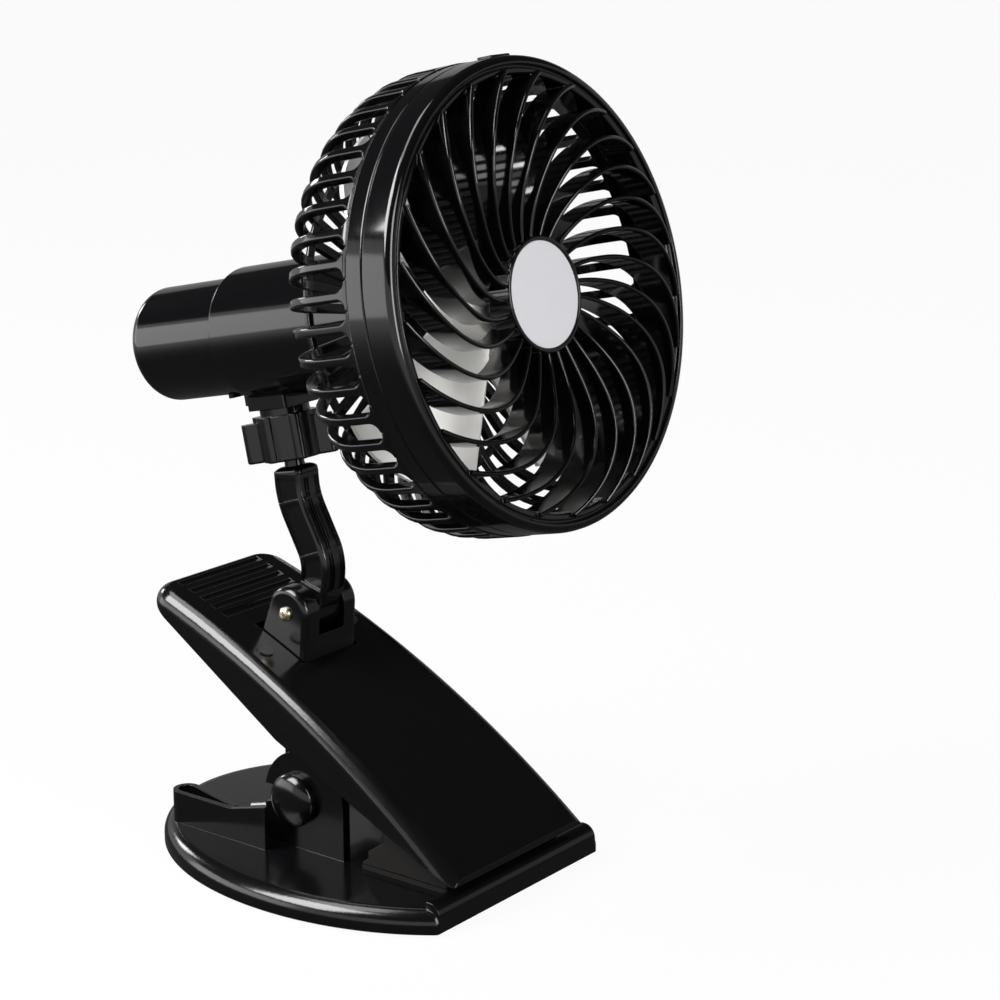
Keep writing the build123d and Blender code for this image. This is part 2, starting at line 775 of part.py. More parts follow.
# Arm: a ribbed S with a barrel below and a ball on top
shoulder = ball_center - up_dir * shoulder_start
arm_top = (shoulder.X, shoulder.Z)
with BuildLine() as arm_line:
    FilletPolyline(
        arm_top, arm_upper_bend, arm_lower_bend, pivot, radius=(arm_upper_radius, arm_lower_radius)
    )
arm_wire = arm_line.wires()[0]
arm_path = Plane.XZ.from_local_coords(arm_wire)
with BuildPart() as arm:
    with BuildSketch(Plane(origin=arm_path @ 0, x_dir=(0, 1, 0), z_dir=arm_path % 0)):
        RectangleRounded(arm_width, arm_depth, arm_edge)
    sweep(path=arm_path)
    with BuildSketch(Plane.XZ):
        with Locations(pivot):
            Circle(arm_barrel)
    extrude(amount=arm_width / 2, both=True)
    for first, last in arm_panels:
        for side in (-1, 1):
            with BuildSketch(Plane.XZ.offset(side * arm_width / 2)):
                trace(lines=arm_wire.trim(first, last), line_width=arm_depth - 2 * arm_rib)
            extrude(amount=-side * arm_panel_depth, mode=Mode.SUBTRACT)
            with BuildSketch(Plane.XZ.offset(side * arm_rib / 2)):
                trace(lines=arm_wire.trim(first, last), line_width=2 * arm_depth)
                trace(
                    lines=arm_wire.trim(first, last),
                    line_width=arm_depth - 2 * arm_panel_depth,
                    mode=Mode.SUBTRACT,
                )
            extrude(amount=side * (arm_width / 2 - 1.5 * arm_rib), mode=Mode.SUBTRACT)
    with BuildSketch(STEM_SECTION):
        neck_top = sqrt(ball_radius ** 2 - neck_radius ** 2)
        with BuildLine():
            ThreePointArc((0, ball_radius), (ball_radius, 0), (neck_radius, -neck_top))
            Polyline(
                (neck_radius, -neck_top), (neck_radius, -neck_start),
                (arm_width / 2 - arm_edge, -shoulder_start),
                (arm_width / 2 - arm_edge, -shoulder_start - arm_edge), (0, -shoulder_start - arm_edge),
                (0, ball_radius),
            )
        make_face()
    revolve(axis=STEM_AXIS)
    with BuildSketch(Plane.XZ):
        with Locations(pivot):
            Circle(pivot_screw_radius + turn_fit)
    extrude(amount=arm_width, both=True, mode=Mode.SUBTRACT)


# Ball joint
def on_stem(radius, angle):
    """Point of the stem's section at that angle from the stem's top."""
    return radius * sin(radians(angle)), radius * cos(radians(angle))


with BuildPart() as ball_seat:
    seat_mid_angle = (seat_top_angle + seat_bottom_angle) / 2
    with BuildSketch(STEM_SECTION):
        with BuildLine():
            ThreePointArc(
                on_stem(seat_outer, seat_top_angle), on_stem(seat_outer, seat_mid_angle),
                on_stem(seat_outer, seat_bottom_angle),
            )
            Line(on_stem(seat_outer, seat_bottom_angle), on_stem(seat_inner, seat_bottom_angle))
            ThreePointArc(
                on_stem(seat_inner, seat_bottom_angle), on_stem(seat_inner, seat_mid_angle),
                on_stem(seat_inner, seat_top_angle),
            )
            Line(on_stem(seat_inner, seat_top_angle), on_stem(seat_outer, seat_top_angle))
        make_face()
    revolve(axis=STEM_AXIS)
    with BuildSketch(STEM):
        Rectangle(2 * seat_outer, seat_slit, align=(Align.MIN, Align.CENTER))
    extrude(amount=2 * seat_outer, both=True, mode=Mode.SUBTRACT)

with BuildPart() as lock_nut:
    nut_height = nut_bottom_drop - nut_top_drop
    nut_top = stem_drop - nut_top_drop
    nut_bottom = stem_drop - nut_bottom_drop
    with BuildSketch(STEM.offset(nut_bottom)) as nut_sketch:
        Circle(nut_radius)
        with PolarLocations(nut_lobe_reach - nut_lobe_radius, nut_lobes, start_angle=180 / nut_lobes):
            Circle(nut_lobe_radius)
            Rectangle(2 * nut_lobe_radius, 2 * nut_lobe_radius, align=(Align.MAX, Align.CENTER))
    extrude(amount=nut_height)
    with BuildSketch(STEM.offset(nut_bottom)):
        SlotOverall(2 * nut_wing_reach, 2 * nut_lobe_radius, rotation=180 / nut_lobes)
    extrude(amount=nut_height - nut_wing_drop)
    fillet(lock_nut.faces().sort_by(Axis(ball_center, up_dir))[0].edges(), nut_edge)
    with BuildSketch(STEM_SECTION):
        mouth_radius = sqrt(socket_radius ** 2 - nut_mouth_drop ** 2)
        seat_z = -slide_fit
        seat_edge = sqrt(socket_radius ** 2 - seat_z ** 2)
        half_angle = (90 + degrees(acos(-nut_mouth_drop / socket_radius))) / 2
        with BuildLine():
            Polyline(
                (0, nut_top), (stub_radius + turn_fit, nut_top),
                (stub_radius + turn_fit, seat_z), (seat_edge, seat_z),
            )
            ThreePointArc(
                (seat_edge, seat_z), on_stem(socket_radius, half_angle), (mouth_radius, -nut_mouth_drop)
            )
            Polyline((mouth_radius, -nut_mouth_drop), (nut_flare, nut_bottom), (0, nut_bottom), (0, nut_top))
        make_face()
    revolve(axis=STEM_AXIS, mode=Mode.SUBTRACT)


def far_plane(s):
    """Plane through the fan's axis at s, looking out of the housing's far side."""
    return Plane(origin=head_origin + axis_dir * s, x_dir=axis_dir, z_dir=(0, 1, 0))


# Motor housing
with BuildPart() as motor_housing:
    with BuildSketch(HEAD_SECTION) as tube_sketch:
        Polygon(
            (0, cage_back), (housing_radius, cage_back), (housing_radius, housing_rear),
            (spigot_radius, housing_rear), (spigot_radius, housing_rear - spigot_length),
            (0, housing_rear - spigot_length),
            align=None,
        )
        fillet(tube_sketch.vertices().group_by(Axis.X)[-1].sort_by(Axis.Y)[0], housing_edge)
    revolve(axis=HEAD_AXIS)
    with BuildSketch(STEM.offset(stem_drop - block_drop)):
        RectangleRounded(block_width, block_width, housing_edge)
    extrude(amount=block_drop - housing_bore)
    with BuildSketch(STEM):
        Circle(stub_radius)
    extrude(amount=stem_drop - housing_bore)
    with BuildSketch(HEAD_SECTION):
        lug_top = housing_radius + lug_height
        with Locations((-lug_top, housing_rear)):
            Rectangle(lug_top - cap_outer - clear_gap, lug_length, align=(Align.MIN, Align.CENTER))
    extrude(amount=lug_width / 2, both=True)
    with BuildSketch(far_plane(button_s)):
        Circle(button_ring)
    extrude(amount=housing_radius + button_ring_proud)
    with BuildSketch(HEAD_SECTION):
        Polygon(
            (0, cage_back), (housing_bore, cage_back), (housing_bore, housing_rear + housing_wall),
            (spigot_radius - spigot_wall, housing_rear + housing_wall),
            (spigot_radius - spigot_wall, housing_rear - spigot_length), (0, housing_rear - spigot_length),
            align=None,
        )
    revolve(axis=HEAD_AXIS, mode=Mode.SUBTRACT)
    with Locations(ball_center):
        Sphere(socket_radius, mode=Mode.SUBTRACT)
    with BuildSketch(HEAD.offset(cage_back)):
        with PolarLocations(cage_screw_circle, cage_screw_count):
            Circle(cage_boss_radius)
            Circle(cage_screw_radius + pin_fit, mode=Mode.SUBTRACT)
    extrude(amount=-cage_boss_depth)
    with BuildSketch(far_plane(button_s)):
        Circle(button_radius + slide_fit)
    extrude(amount=2 * housing_radius, mode=Mode.SUBTRACT)
    with BuildSketch(far_plane(lens_s)):
        Circle(lens_radius + pin_fit)
    extrude(amount=2 * housing_radius, mode=Mode.SUBTRACT)
    with BuildSketch(far_plane(port_s)):
        RectangleRounded(port_width + 2 * slide_fit, port_length + 2 * slide_fit, port_wall)
    extrude(amount=2 * housing_radius, mode=Mode.SUBTRACT)

# Battery cap, holder and cell
with BuildPart() as battery_cap:
    cap_front = housing_rear - slide_fit
    cap_bore = spigot_radius + slide_fit
    with BuildSketch(HEAD_SECTION) as cap_sketch:
        Polygon(
            (cap_bore, cap_front), (cap_outer, cap_front), (cap_outer, cap_rear), (0, cap_rear),
            (0, cap_rear + cap_end_wall), (cap_bore, cap_rear + cap_end_wall),
            align=None,
        )
        tail_corner = cap_sketch.vertices().sort_by(OUT_BACK)[-1]
        fillet(tail_corner, cap_end_round)
    revolve(axis=HEAD_AXIS)
    with BuildSketch(HEAD_SECTION):
        with Locations((-cap_outer - thumb_rib, housing_rear - lug_length)):
            Rectangle(2 * thumb_rib, 2 * thumb_rib, align=(Align.MIN, Align.CENTER))
    extrude(amount=lug_width / 2, both=True)

cell_front = holder_front - holder_bulkhead - contact_thickness
cell_rear = cell_front - cell_length
with BuildPart() as battery_holder:
    holder_rear = cell_rear + lug_length
    ring_front = housing_rear - spigot_length / 2
    with BuildSketch(HEAD_SECTION):
        Polygon(
            (0, holder_front), (housing_bore - slide_fit, holder_front),
            (housing_bore - slide_fit, holder_front - holder_bulkhead),
            (holder_outer, holder_front - holder_bulkhead), (holder_outer, ring_front),
            (spigot_radius - spigot_wall - slide_fit, ring_front),
            (spigot_radius - spigot_wall - slide_fit, ring_front - holder_bulkhead),
            (holder_outer, ring_front - holder_bulkhead), (holder_outer, holder_rear),
            (holder_inner, holder_rear), (holder_inner, holder_front - holder_bulkhead),
            (0, holder_front - holder_bulkhead),
            align=None,
        )
    revolve(axis=HEAD_AXIS)

with BuildPart() as battery_contact:
    with BuildSketch(HEAD.offset(holder_front - holder_bulkhead)):
        Circle(contact_radius)
    extrude(amount=-contact_thickness)

with BuildPart() as battery_cell:
    with BuildSketch(HEAD_SECTION) as cell_sketch:
        Polygon(
            (0, cell_front), (cell_radius, cell_front), (cell_radius, cell_rear), (0, cell_rear), align=None
        )
    revolve(axis=HEAD_AXIS)
    fillet(battery_cell.edges().filter_by(GeomType.CIRCLE), contact_thickness)

with BuildPart() as cap_contact:
    with BuildSketch(HEAD.offset(cap_rear + cap_end_wall)):
        Circle(contact_radius)
    extrude(amount=cell_rear - cap_rear - cap_end_wall - slide_fit)

# Control board, switch and what shows on the far side
board_low = holder_outer + pin_fit
board_high = board_low + board_thickness
with BuildPart() as circuit_board:
    with BuildSketch(far_plane(board_s).offset(board_low)):
        Rectangle(board_length, board_width)
    extrude(amount=board_thickness)

with BuildPart() as push_switch:
    with BuildSketch(far_plane(button_s).offset(board_high)):
        Rectangle(switch_size, switch_size)
    extrude(amount=switch_body)
    with BuildSketch(far_plane(button_s).offset(board_high)):
        Circle(switch_plunger)
    extrude(amount=switch_height)

with BuildPart() as usb_port:
    port_top = sqrt(housing_radius ** 2 - (port_length / 2) ** 2)
    with BuildSketch(far_plane(port_s).offset(board_high)):
        RectangleRounded(port_width, port_length, port_wall)
    extrude(amount=port_top - board_high)
    with BuildSketch(far_plane(port_s).offset(board_high + port_wall)):
        RectangleRounded(port_width - 2 * port_wall, port_length - 2 * port_wall, port_wall / 2)
        Rectangle(port_tongue, port_length - 6 * port_wall, mode=Mode.SUBTRACT)
    extrude(amount=port_top, mode=Mode.SUBTRACT)

with BuildPart() as led_lens:
    with BuildSketch(far_plane(lens_s).offset(board_high)):
        Circle(lens_radius)
    extrude(amount=housing_radius - board_high)

with BuildPart() as power_button:
    flange_low = board_high + switch_height + button_travel + slide_fit
    with BuildSketch(far_plane(button_s).offset(flange_low)):
        Circle(button_flange)
    extrude(amount=button_flange_thickness)
    with BuildSketch(far_plane(button_s).offset(flange_low)):
        Circle(button_radius)
    extrude(amount=housing_radius + button_proud - flange_low)
    fillet(power_button.edges().filter_by(GeomType.CIRCLE).sort_by(Axis.Y)[-1], rim_round)


# Rear cage
def on_head(radius, angle):
    """Point of the head's plane at that angle from the top, turning to the far side."""
    return radius * cos(radians(angle)), -radius * sin(radians(angle))


with BuildPart() as cage_rib:
    bend_s = cage_back + cage_bend
    bend_r = cage_radius - cage_bend
    inner_bend = cage_bend - cage_wall
    rib_front = cage_band_rear + cage_embed
    with BuildSketch(HEAD_SECTION):
        with BuildLine():
            Line((cage_radius, rib_front), (cage_radius, bend_s))
            CenterArc((bend_r, bend_s), cage_bend, 0, -90)
            Polyline(
                (bend_r, cage_back), (cage_plate - cage_wall, cage_back),
                (cage_plate - cage_wall, cage_back + cage_wall), (bend_r, cage_back + cage_wall),
            )
            CenterArc((bend_r, bend_s), inner_bend, -90, 90)
            Polyline(
                (cage_radius - cage_wall, bend_s), (cage_radius - cage_wall, rib_front),
                (cage_radius, rib_front),
            )
        make_face()
    extrude(amount=cage_rib_width / 2, both=True)

with BuildPart() as rear_cage:
    with BuildSketch(HEAD_SECTION):
        spigot_outer = bezel_radius - bezel_wall - slide_fit
        spigot_inner = bezel_inner + bezel_wall + slide_fit
        Polygon(
            (bezel_radius, cage_band_front), (bezel_radius, cage_band_rear),
            (bezel_radius - cage_band_wall, cage_band_rear),
            (bezel_radius - cage_band_wall, cage_band_front),
            (spigot_inner, cage_band_front), (spigot_inner, cage_band_front + cage_spigot),
            (spigot_outer, cage_band_front + cage_spigot), (spigot_outer, cage_band_front),
            align=None,
        )
        Polygon(
            (cage_ring_radius - cage_ring_width / 2, cage_back + cage_wall / 2),
            (cage_ring_radius + cage_ring_width / 2, cage_back + cage_wall / 2),
            (cage_ring_radius + cage_ring_width / 2, cage_back + cage_wall),
            (cage_ring_radius - cage_ring_width / 2, cage_back + cage_wall),
            align=None,
        )
        Polygon(
            (boss_radius + slide_fit, cage_back), (cage_plate, cage_back),
            (cage_plate, cage_back + cage_plate_thickness),
            (boss_radius + slide_fit, cage_back + cage_plate_thickness),
            align=None,
        )
    revolve(axis=HEAD_AXIS)
    add([
        cage_rib.part.rotate(HEAD_AXIS, -cage_first - 360 / cage_ribs * turn)
        for turn in range(cage_ribs)
    ])
    with BuildSketch(HEAD.offset(cage_back)):
        with PolarLocations(cage_screw_circle, cage_screw_count):
            Circle(cage_screw_radius + pin_fit)
    extrude(amount=2 * cage_plate_thickness, mode=Mode.SUBTRACT)

with BuildPart() as cage_screws:
    with BuildSketch(HEAD.offset(cage_back + cage_plate_thickness)):
        with PolarLocations(cage_screw_circle, cage_screw_count):
            Circle(cage_screw_head)
    extrude(amount=cage_screw_head_height)
    with BuildSketch(HEAD.offset(cage_back + cage_plate_thickness)):
        with PolarLocations(cage_screw_circle, cage_screw_count):
            Circle(cage_screw_radius)
    extrude(amount=-cage_screw_length)


# Front grille: swept vanes under a dome, between hub and bezel
def dome(radius):
    """Front edge of the vanes at that radius."""
    u = (radius - hub_radius) / (bezel_inner - hub_radius)
    return dome_front + dome_curve[0] * u + dome_curve[1] * u ** 2 + dome_curve[2] * u ** 3


def swept(radius):
    """Angle of a vane's centre line at that radius, from where it leaves the hub."""
    u = (radius - hub_radius) / (bezel_inner - hub_radius)
    return vane_sweep[0] * u + vane_sweep[1] * u ** 2 + vane_sweep[2] * u ** 3


vane_inner = hub_radius - hub_wall / 2
vane_outer = bezel_inner + bezel_wall / 2
vane_spans = 6
vane_span = (vane_outer - vane_inner) / vane_spans
vane_radii = [vane_inner + vane_span * step for step in range(vane_spans + 1)]
with BuildPart() as vane:
    with BuildSketch(HEAD.offset(dome_front - 2 * hub_depth)):
        with BuildLine():
            Spline(*[on_head(r, vane_first + swept(r)) for r in vane_radii])
        trace(line_width=vane_thickness)
    extrude(amount=4 * hub_depth)
    with BuildSketch(HEAD_SECTION):
        with BuildLine():
            Spline(*[(r, dome(r)) for r in vane_radii])
            Line((vane_outer, dome(vane_outer)), (vane_outer, dome(vane_outer) - vane_depth))
            Spline(*[(r, dome(r) - vane_depth) for r in reversed(vane_radii)])
            Line((vane_inner, dome(vane_inner) - vane_depth), (vane_inner, dome(vane_inner)))
        make_face()
    revolve(axis=HEAD_AXIS, mode=Mode.INTERSECT)

hub_rear = hub_front - hub_depth
ledge_inner = hub_radius - hub_wall - badge_ledge
with BuildPart() as front_grille:
    with BuildSketch(HEAD_SECTION) as bezel_sketch:
        Polygon(
            (bezel_radius, bezel_rear), (bezel_radius, 0), (bezel_inner + bezel_wall, 0),
            (bezel_inner + bezel_wall, rim_front), (bezel_inner, rim_front), (bezel_inner, bezel_rear),
            (bezel_inner + bezel_wall, bezel_rear), (bezel_inner + bezel_wall, -bezel_wall - bezel_round),
            (bezel_radius - bezel_wall, -bezel_wall - bezel_round), (bezel_radius - bezel_wall, bezel_rear),
            align=None,
        )
        outer_corner = bezel_sketch.vertices().sort_by(OUT_FRONT)[-1]
        fillet(outer_corner, bezel_round)
        inner_corner = bezel_sketch.vertices().sort_by(IN_FRONT)[-1]
        fillet(inner_corner, rim_round)
        Polygon(
            (hub_radius, hub_front), (hub_radius, hub_rear), (0, hub_rear), (0, hub_rear + hub_wall),
            (ledge_inner, hub_rear + hub_wall), (ledge_inner, badge_front - badge_thickness),
            (hub_radius - hub_wall, badge_front - badge_thickness), (hub_radius - hub_wall, hub_front),
            align=None,
        )
    revolve(axis=HEAD_AXIS)
    add([vane.part.rotate(HEAD_AXIS, -360 / vane_count * turn) for turn in range(vane_count)])
    with BuildSketch(HEAD_SECTION):
        with Locations((bezel_radius - bezel_wall / 2, bezel_rear / 2)):
            Rectangle(bezel_wall / 2 + tab_height, tab_length, align=(Align.MIN, Align.CENTER))
    extrude(amount=tab_width / 2, both=True)

with BuildPart() as hub_badge:
    with BuildSketch(HEAD.offset(badge_front - badge_thickness)):
        Circle(hub_radius - hub_wall - slide_fit)
    extrude(amount=badge_thickness)
    fillet(hub_badge.edges().sort_by(Axis(head_origin, axis_dir))[-1], badge_edge)

# Motor and rotor
with BuildPart() as motor_can:
    with BuildSketch(HEAD_SECTION) as can_sketch:
        Polygon(
            (shaft_radius + turn_fit, cage_back + boss_length), (boss_radius, cage_back + boss_length),
            (boss_radius, cage_back), (motor_radius, cage_back), (motor_radius, cage_back - motor_length),
            (shaft_radius + turn_fit, cage_back - motor_length),
            align=None,
        )
        fillet(can_sketch.vertices().sort_by(OUT_BACK)[-1], rim_round)
    revolve(axis=HEAD_AXIS)

with BuildPart() as motor_shaft:
    with BuildSketch(HEAD.offset(shaft_front)):
        Circle(shaft_radius)
    extrude(amount=cage_back - motor_length - shaft_front)


def blade_section(radius, chord, pitch):
    """Cambered section of a blade, in a plane square to its span."""
    plane = Plane(
        origin=head_origin + axis_dir * blade_middle + up_dir * radius, x_dir=(0, 1, 0), z_dir=up_dir
    )
    half = chord / 2
    reach = (half * cos(radians(pitch)), half * sin(radians(pitch)))
    bow = (-blade_camber * chord * sin(radians(pitch)), blade_camber * chord * cos(radians(pitch)))
    with BuildSketch(plane) as section:
        with BuildLine():
            ThreePointArc((-reach[0], -reach[1]), bow, reach)
        trace(line_width=blade_thickness)
    return section.sketch.face()


with BuildPart() as blade:
    loft([
        blade_section(rotor_hub_radius - rotor_hub_wall, blade_root_chord, blade_root_pitch),
        blade_section(blade_tip, blade_tip_chord, blade_tip_pitch),
    ])
    with BuildSketch(HEAD.offset(cage_back)):
        Circle(blade_tip)
        Circle(rotor_hub_radius - rotor_hub_wall / 2, mode=Mode.SUBTRACT)
    extrude(amount=-cage_back, mode=Mode.INTERSECT)

rotor_hub_inner = rotor_hub_radius - rotor_hub_wall
rotor_web = rotor_hub_front - rotor_hub_round
with BuildPart() as fan_blade:
    with BuildSketch(HEAD_SECTION) as hub_sketch:
        Polygon(
            (shaft_radius + pin_fit, rotor_hub_front), (rotor_hub_radius, rotor_hub_front),
            (rotor_hub_radius, rotor_hub_rear), (rotor_hub_inner, rotor_hub_rear),
            (rotor_hub_inner, rotor_web), (rotor_core, rotor_web), (rotor_core, rotor_hub_rear),
            (shaft_radius + pin_fit, rotor_hub_rear),
            align=None,
        )
        fillet(hub_sketch.vertices().sort_by(OUT_FRONT)[-1], rotor_hub_round)
    revolve(axis=HEAD_AXIS)
    add([blade.part.rotate(HEAD_AXIS, 360 / blade_count * (turn + 0.5)) for turn in range(blade_count)])

pieces = {
    "clip_base": clip_base,
    "base_plate": base_plate,
    "base_screws": base_screws,
    "base_pad": base_pad,
    "lower_jaw_pad": lower_jaw_pad,
    "hinge_pin": hinge_pin,
    "hinge_caps": hinge_caps,
    "clip_spring": clip_spring,
    "upper_jaw": upper_jaw,
    "upper_jaw_pad": upper_jaw_pad,
    "arm_bracket": arm_bracket,
    "bracket_screws": bracket_screws,
    "arm_pivot_screw": arm_pivot_screw,
    "arm_pivot_nut": arm_pivot_nut,
    "arm": arm,
    "ball_seat": ball_seat,
    "lock_nut": lock_nut,
    "motor_housing": motor_housing,
    "battery_cap": battery_cap,
    "battery_holder": battery_holder,
    "battery_contact": battery_contact,
    "battery_cell": battery_cell,
    "cap_contact": cap_contact,
    "circuit_board": circuit_board,
    "push_switch": push_switch,
    "usb_port": usb_port,
    "led_lens": led_lens,
    "power_button": power_button,
    "rear_cage": rear_cage,
    "cage_screws": cage_screws,
    "front_grille": front_grille,
    "hub_badge": hub_badge,
    "motor_can": motor_can,
    "motor_shaft": motor_shaft,
    "fan_blade": fan_blade,
}
for name, piece in pieces.items():
    piece.part.label = name
    export_step(piece.part, f"parts/{name}.step")
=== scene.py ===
# %% [markdown]
# A clip-on fan, dressed for its portrait. The construction comes in as a fixed frame: every solid already
# has its real size and its place, so this lesson never moves one. It gives each of them a finish, and where
# the real object has softer edges or finer forms than the solid, it models a new piece in the same place.
# The fan's pieces are written in millimetres, and the room round it in metres.

# %% Load the frame
import json
from math import acos, atan2, cos, hypot, pi, radians, sin, sqrt, tan

import bmesh
import bpy
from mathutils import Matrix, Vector


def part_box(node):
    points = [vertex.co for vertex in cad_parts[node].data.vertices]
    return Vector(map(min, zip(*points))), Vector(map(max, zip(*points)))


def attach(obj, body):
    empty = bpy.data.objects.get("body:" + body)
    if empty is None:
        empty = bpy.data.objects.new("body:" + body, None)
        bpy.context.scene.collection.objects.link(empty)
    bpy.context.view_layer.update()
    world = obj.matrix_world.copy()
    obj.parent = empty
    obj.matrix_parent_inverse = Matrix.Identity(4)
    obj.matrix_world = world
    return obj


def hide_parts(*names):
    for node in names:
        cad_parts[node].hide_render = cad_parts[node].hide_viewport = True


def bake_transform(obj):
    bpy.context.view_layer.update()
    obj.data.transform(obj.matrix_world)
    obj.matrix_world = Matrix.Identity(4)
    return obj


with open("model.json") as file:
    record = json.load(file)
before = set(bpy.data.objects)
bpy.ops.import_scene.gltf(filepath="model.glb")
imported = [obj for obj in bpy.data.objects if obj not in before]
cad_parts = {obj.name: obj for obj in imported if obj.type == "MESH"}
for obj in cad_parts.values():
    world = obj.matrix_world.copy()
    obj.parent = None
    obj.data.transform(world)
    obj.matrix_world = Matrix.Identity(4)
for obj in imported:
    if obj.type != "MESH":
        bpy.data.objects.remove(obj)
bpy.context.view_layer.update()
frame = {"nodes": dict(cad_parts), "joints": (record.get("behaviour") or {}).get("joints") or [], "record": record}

mm = 0.001
joints = {joint["name"]: joint for joint in frame["joints"]}
print("nodes in the frame:", len(frame["nodes"]), "joints:", sorted(joints))

# %% [markdown]
# The camera stands a little left of the fan's front and looks down by about fifteen degrees. A long lens
# from some distance keeps the ring of the head a clean ellipse. The spot that it looks at, the way back from
# there and the distance are chosen; its place and its turn follow from them.

# %% Camera
view_target = Vector((42.68, 0.0, 119.12)) * mm
view_way = Vector((0.5863, -0.7681, 0.2576)).normalized()
view_distance = 743.68 * mm
view_sensor = 36.0
view_lens = 93.96
camera_data = bpy.data.cameras.new("camera")
camera_data.sensor_width = view_sensor
camera_data.lens = view_lens
camera = bpy.data.objects.new("camera", camera_data)
bpy.context.scene.collection.objects.link(camera)
camera.location = view_target + view_way * view_distance
camera.rotation_euler = (-view_way).to_track_quat("-Z", "Y").to_euler()
bpy.context.scene.camera = camera
bpy.context.scene.view_settings.view_transform = "Standard"
print("camera at", [round(value, 4) for value in camera.location])

# %% [markdown]
# Shader sums read best as sums. This small class wraps a node's output and gives it the plus and times
# signs, in both orders, so that `0.1 + 0.2 * mask` works. Each sign adds one Math node, and numbers alone
# are worked out before they get there.

# %% Sums in a material
class Wire:
    """One value on its way through a material."""

    def __init__(self, finish, socket):
        self.finish = finish
        self.socket = socket

    def sum(self, operation, first, second):
        return self.finish.node("ShaderNodeMath", {"operation": operation}, {0: first, 1: second})

    def __add__(self, other):
        return self.sum("ADD", self, other)

    def __radd__(self, other):
        return self.sum("ADD", other, self)

    def __mul__(self, other):
        return self.sum("MULTIPLY", self, other)

    def __rmul__(self, other):
        return self.sum("MULTIPLY", other, self)


print("a wire takes + and *")

# %% [markdown]
# Every other node comes from one method, `Finish.node`, which sets the node's options first and its sockets
# after. The short methods under it make the few nodes that nearly every finish of this fan needs: noise for
# wear, a blend of two colours, a soft ramp, and a bump for what is too fine to model.

# %% Finish helper
class Finish:
    """A material and the nodes that make it."""

    def __init__(self, name, **constants):
        self.material = bpy.data.materials.new(name)
        self.material.use_nodes = True
        self.tree = self.material.node_tree
        self.shader = self.tree.nodes["Principled BSDF"]
        for socket, value in constants.items():
            self.shader.inputs[socket.replace("_", " ")].default_value = value

    def node(self, kind, settings=None, sockets=None, output=0):
        made = self.tree.nodes.new(kind)
        for name, value in (settings or {}).items():
            setattr(made, name, value)
        for name, value in (sockets or {}).items():
            self.feed(made.inputs[name], value)
        return Wire(self, made.outputs[output])

    def feed(self, socket, value):
        if isinstance(value, Wire):
            self.tree.links.new(value.socket, socket)
        else:
            socket.default_value = value

    def set(self, socket, value):
        self.feed(self.shader.inputs[socket], value)

    def place(self):
        return self.node("ShaderNodeTexCoord", output="Object")

    def noise(self, scale, detail=2.0, roughness=0.5):
        sockets = {"Vector": self.place(), "Scale": scale, "Detail": detail, "Roughness": roughness}
        return self.node("ShaderNodeTexNoise", {}, sockets)

    def blend(self, share, first, second):
        """Two colours mixed. A Mix node has its colours at inputs 6 and 7, and the result at output 2."""
        sockets = {0: share, 6: first, 7: second}
        return self.node("ShaderNodeMix", {"data_type": "RGBA"}, sockets, output=2)

    def ramp(self, value, reach, levels):
        sockets = {"Value": value, "From Min": reach[0], "From Max": reach[1]}
        sockets.update({"To Min": levels[0], "To Max": levels[1]})
        return self.node("ShaderNodeMapRange", {"interpolation_type": "SMOOTHSTEP"}, sockets)

    def bump(self, height, strength, distance, edge=None):
        sockets = {"Height": height, "Strength": strength, "Distance": distance}
        if edge:
            sockets["Normal"] = self.node("ShaderNodeBevel", {"samples": 6}, {"Radius": edge})
        self.set("Normal", self.node("ShaderNodeBump", {}, sockets))


print("a finish can:", [name for name in vars(Finish) if not name.startswith("_")])

# %% [markdown]
# The stage is one wide dish: a flat floor that turns up into a wall far away. A plain sheet would end
# somewhere behind the fan and show a horizon. The bend between floor and wall is a quarter circle, so that
# no line shows there either.

# %% Stage
stage_radius = 3.0
stage_wall = 1.3
stage_bend = 0.8
stage_sides = 96
stage_steps = 8


def stage_profile():
    """Points (radius, height) from the edge of the flat floor to the top of the wall."""
    flat = stage_radius - stage_bend
    points = [(flat, 0.0)]
    for step in range(1, stage_steps + 1):
        turn = pi / 2 * step / stage_steps
        points.append((flat + stage_bend * sin(turn), stage_bend * (1 - cos(turn))))
    points.append((stage_radius, stage_wall))
    return points


def stage_ring(builder, radius, height):
    turns = [2 * pi * side / stage_sides for side in range(stage_sides)]
    return [builder.verts.new((radius * cos(turn), radius * sin(turn), height)) for turn in turns]


floor_builder = bmesh.new()
floor_rings = [stage_ring(floor_builder, radius, height) for radius, height in stage_profile()]
floor_builder.faces.new(floor_rings[0])
for inner, outer in zip(floor_rings, floor_rings[1:]):
    for side in range(stage_sides):
        after = (side + 1) % stage_sides
        floor_builder.faces.new((inner[side], outer[side], outer[after], inner[after]))
floor_mesh = bpy.data.meshes.new("floor")
floor_builder.to_mesh(floor_mesh)
floor_builder.free()
floor_mesh.shade_smooth()
floor = bpy.data.objects.new("floor", floor_mesh)
bpy.context.scene.collection.objects.link(floor)
print("stage: radius", stage_radius, "m, wall", stage_wall, "m")

# %% [markdown]
# To the camera the dish is white. In a mirror it is white only from some way off and mostly on the near
# side: close to the fan it is dark, and that shades the polished sides from pale at the horizon to black
# below. Light Path tells which kind of ray asks, and Mix Shaders give each of them its answer.

# %% Stage finish
stage_glow = 0.95
stage_grey = 0.5
stage_roughness = 0.9
mirror_dark = 0.08
mirror_reach = (0.3, 1.4)
mirror_side = (-0.6, 1.2)
mirror_least = 0.32
white = (1.0, 1.0, 1.0, 1.0)
grey = (stage_grey, stage_grey, stage_grey, 1.0)

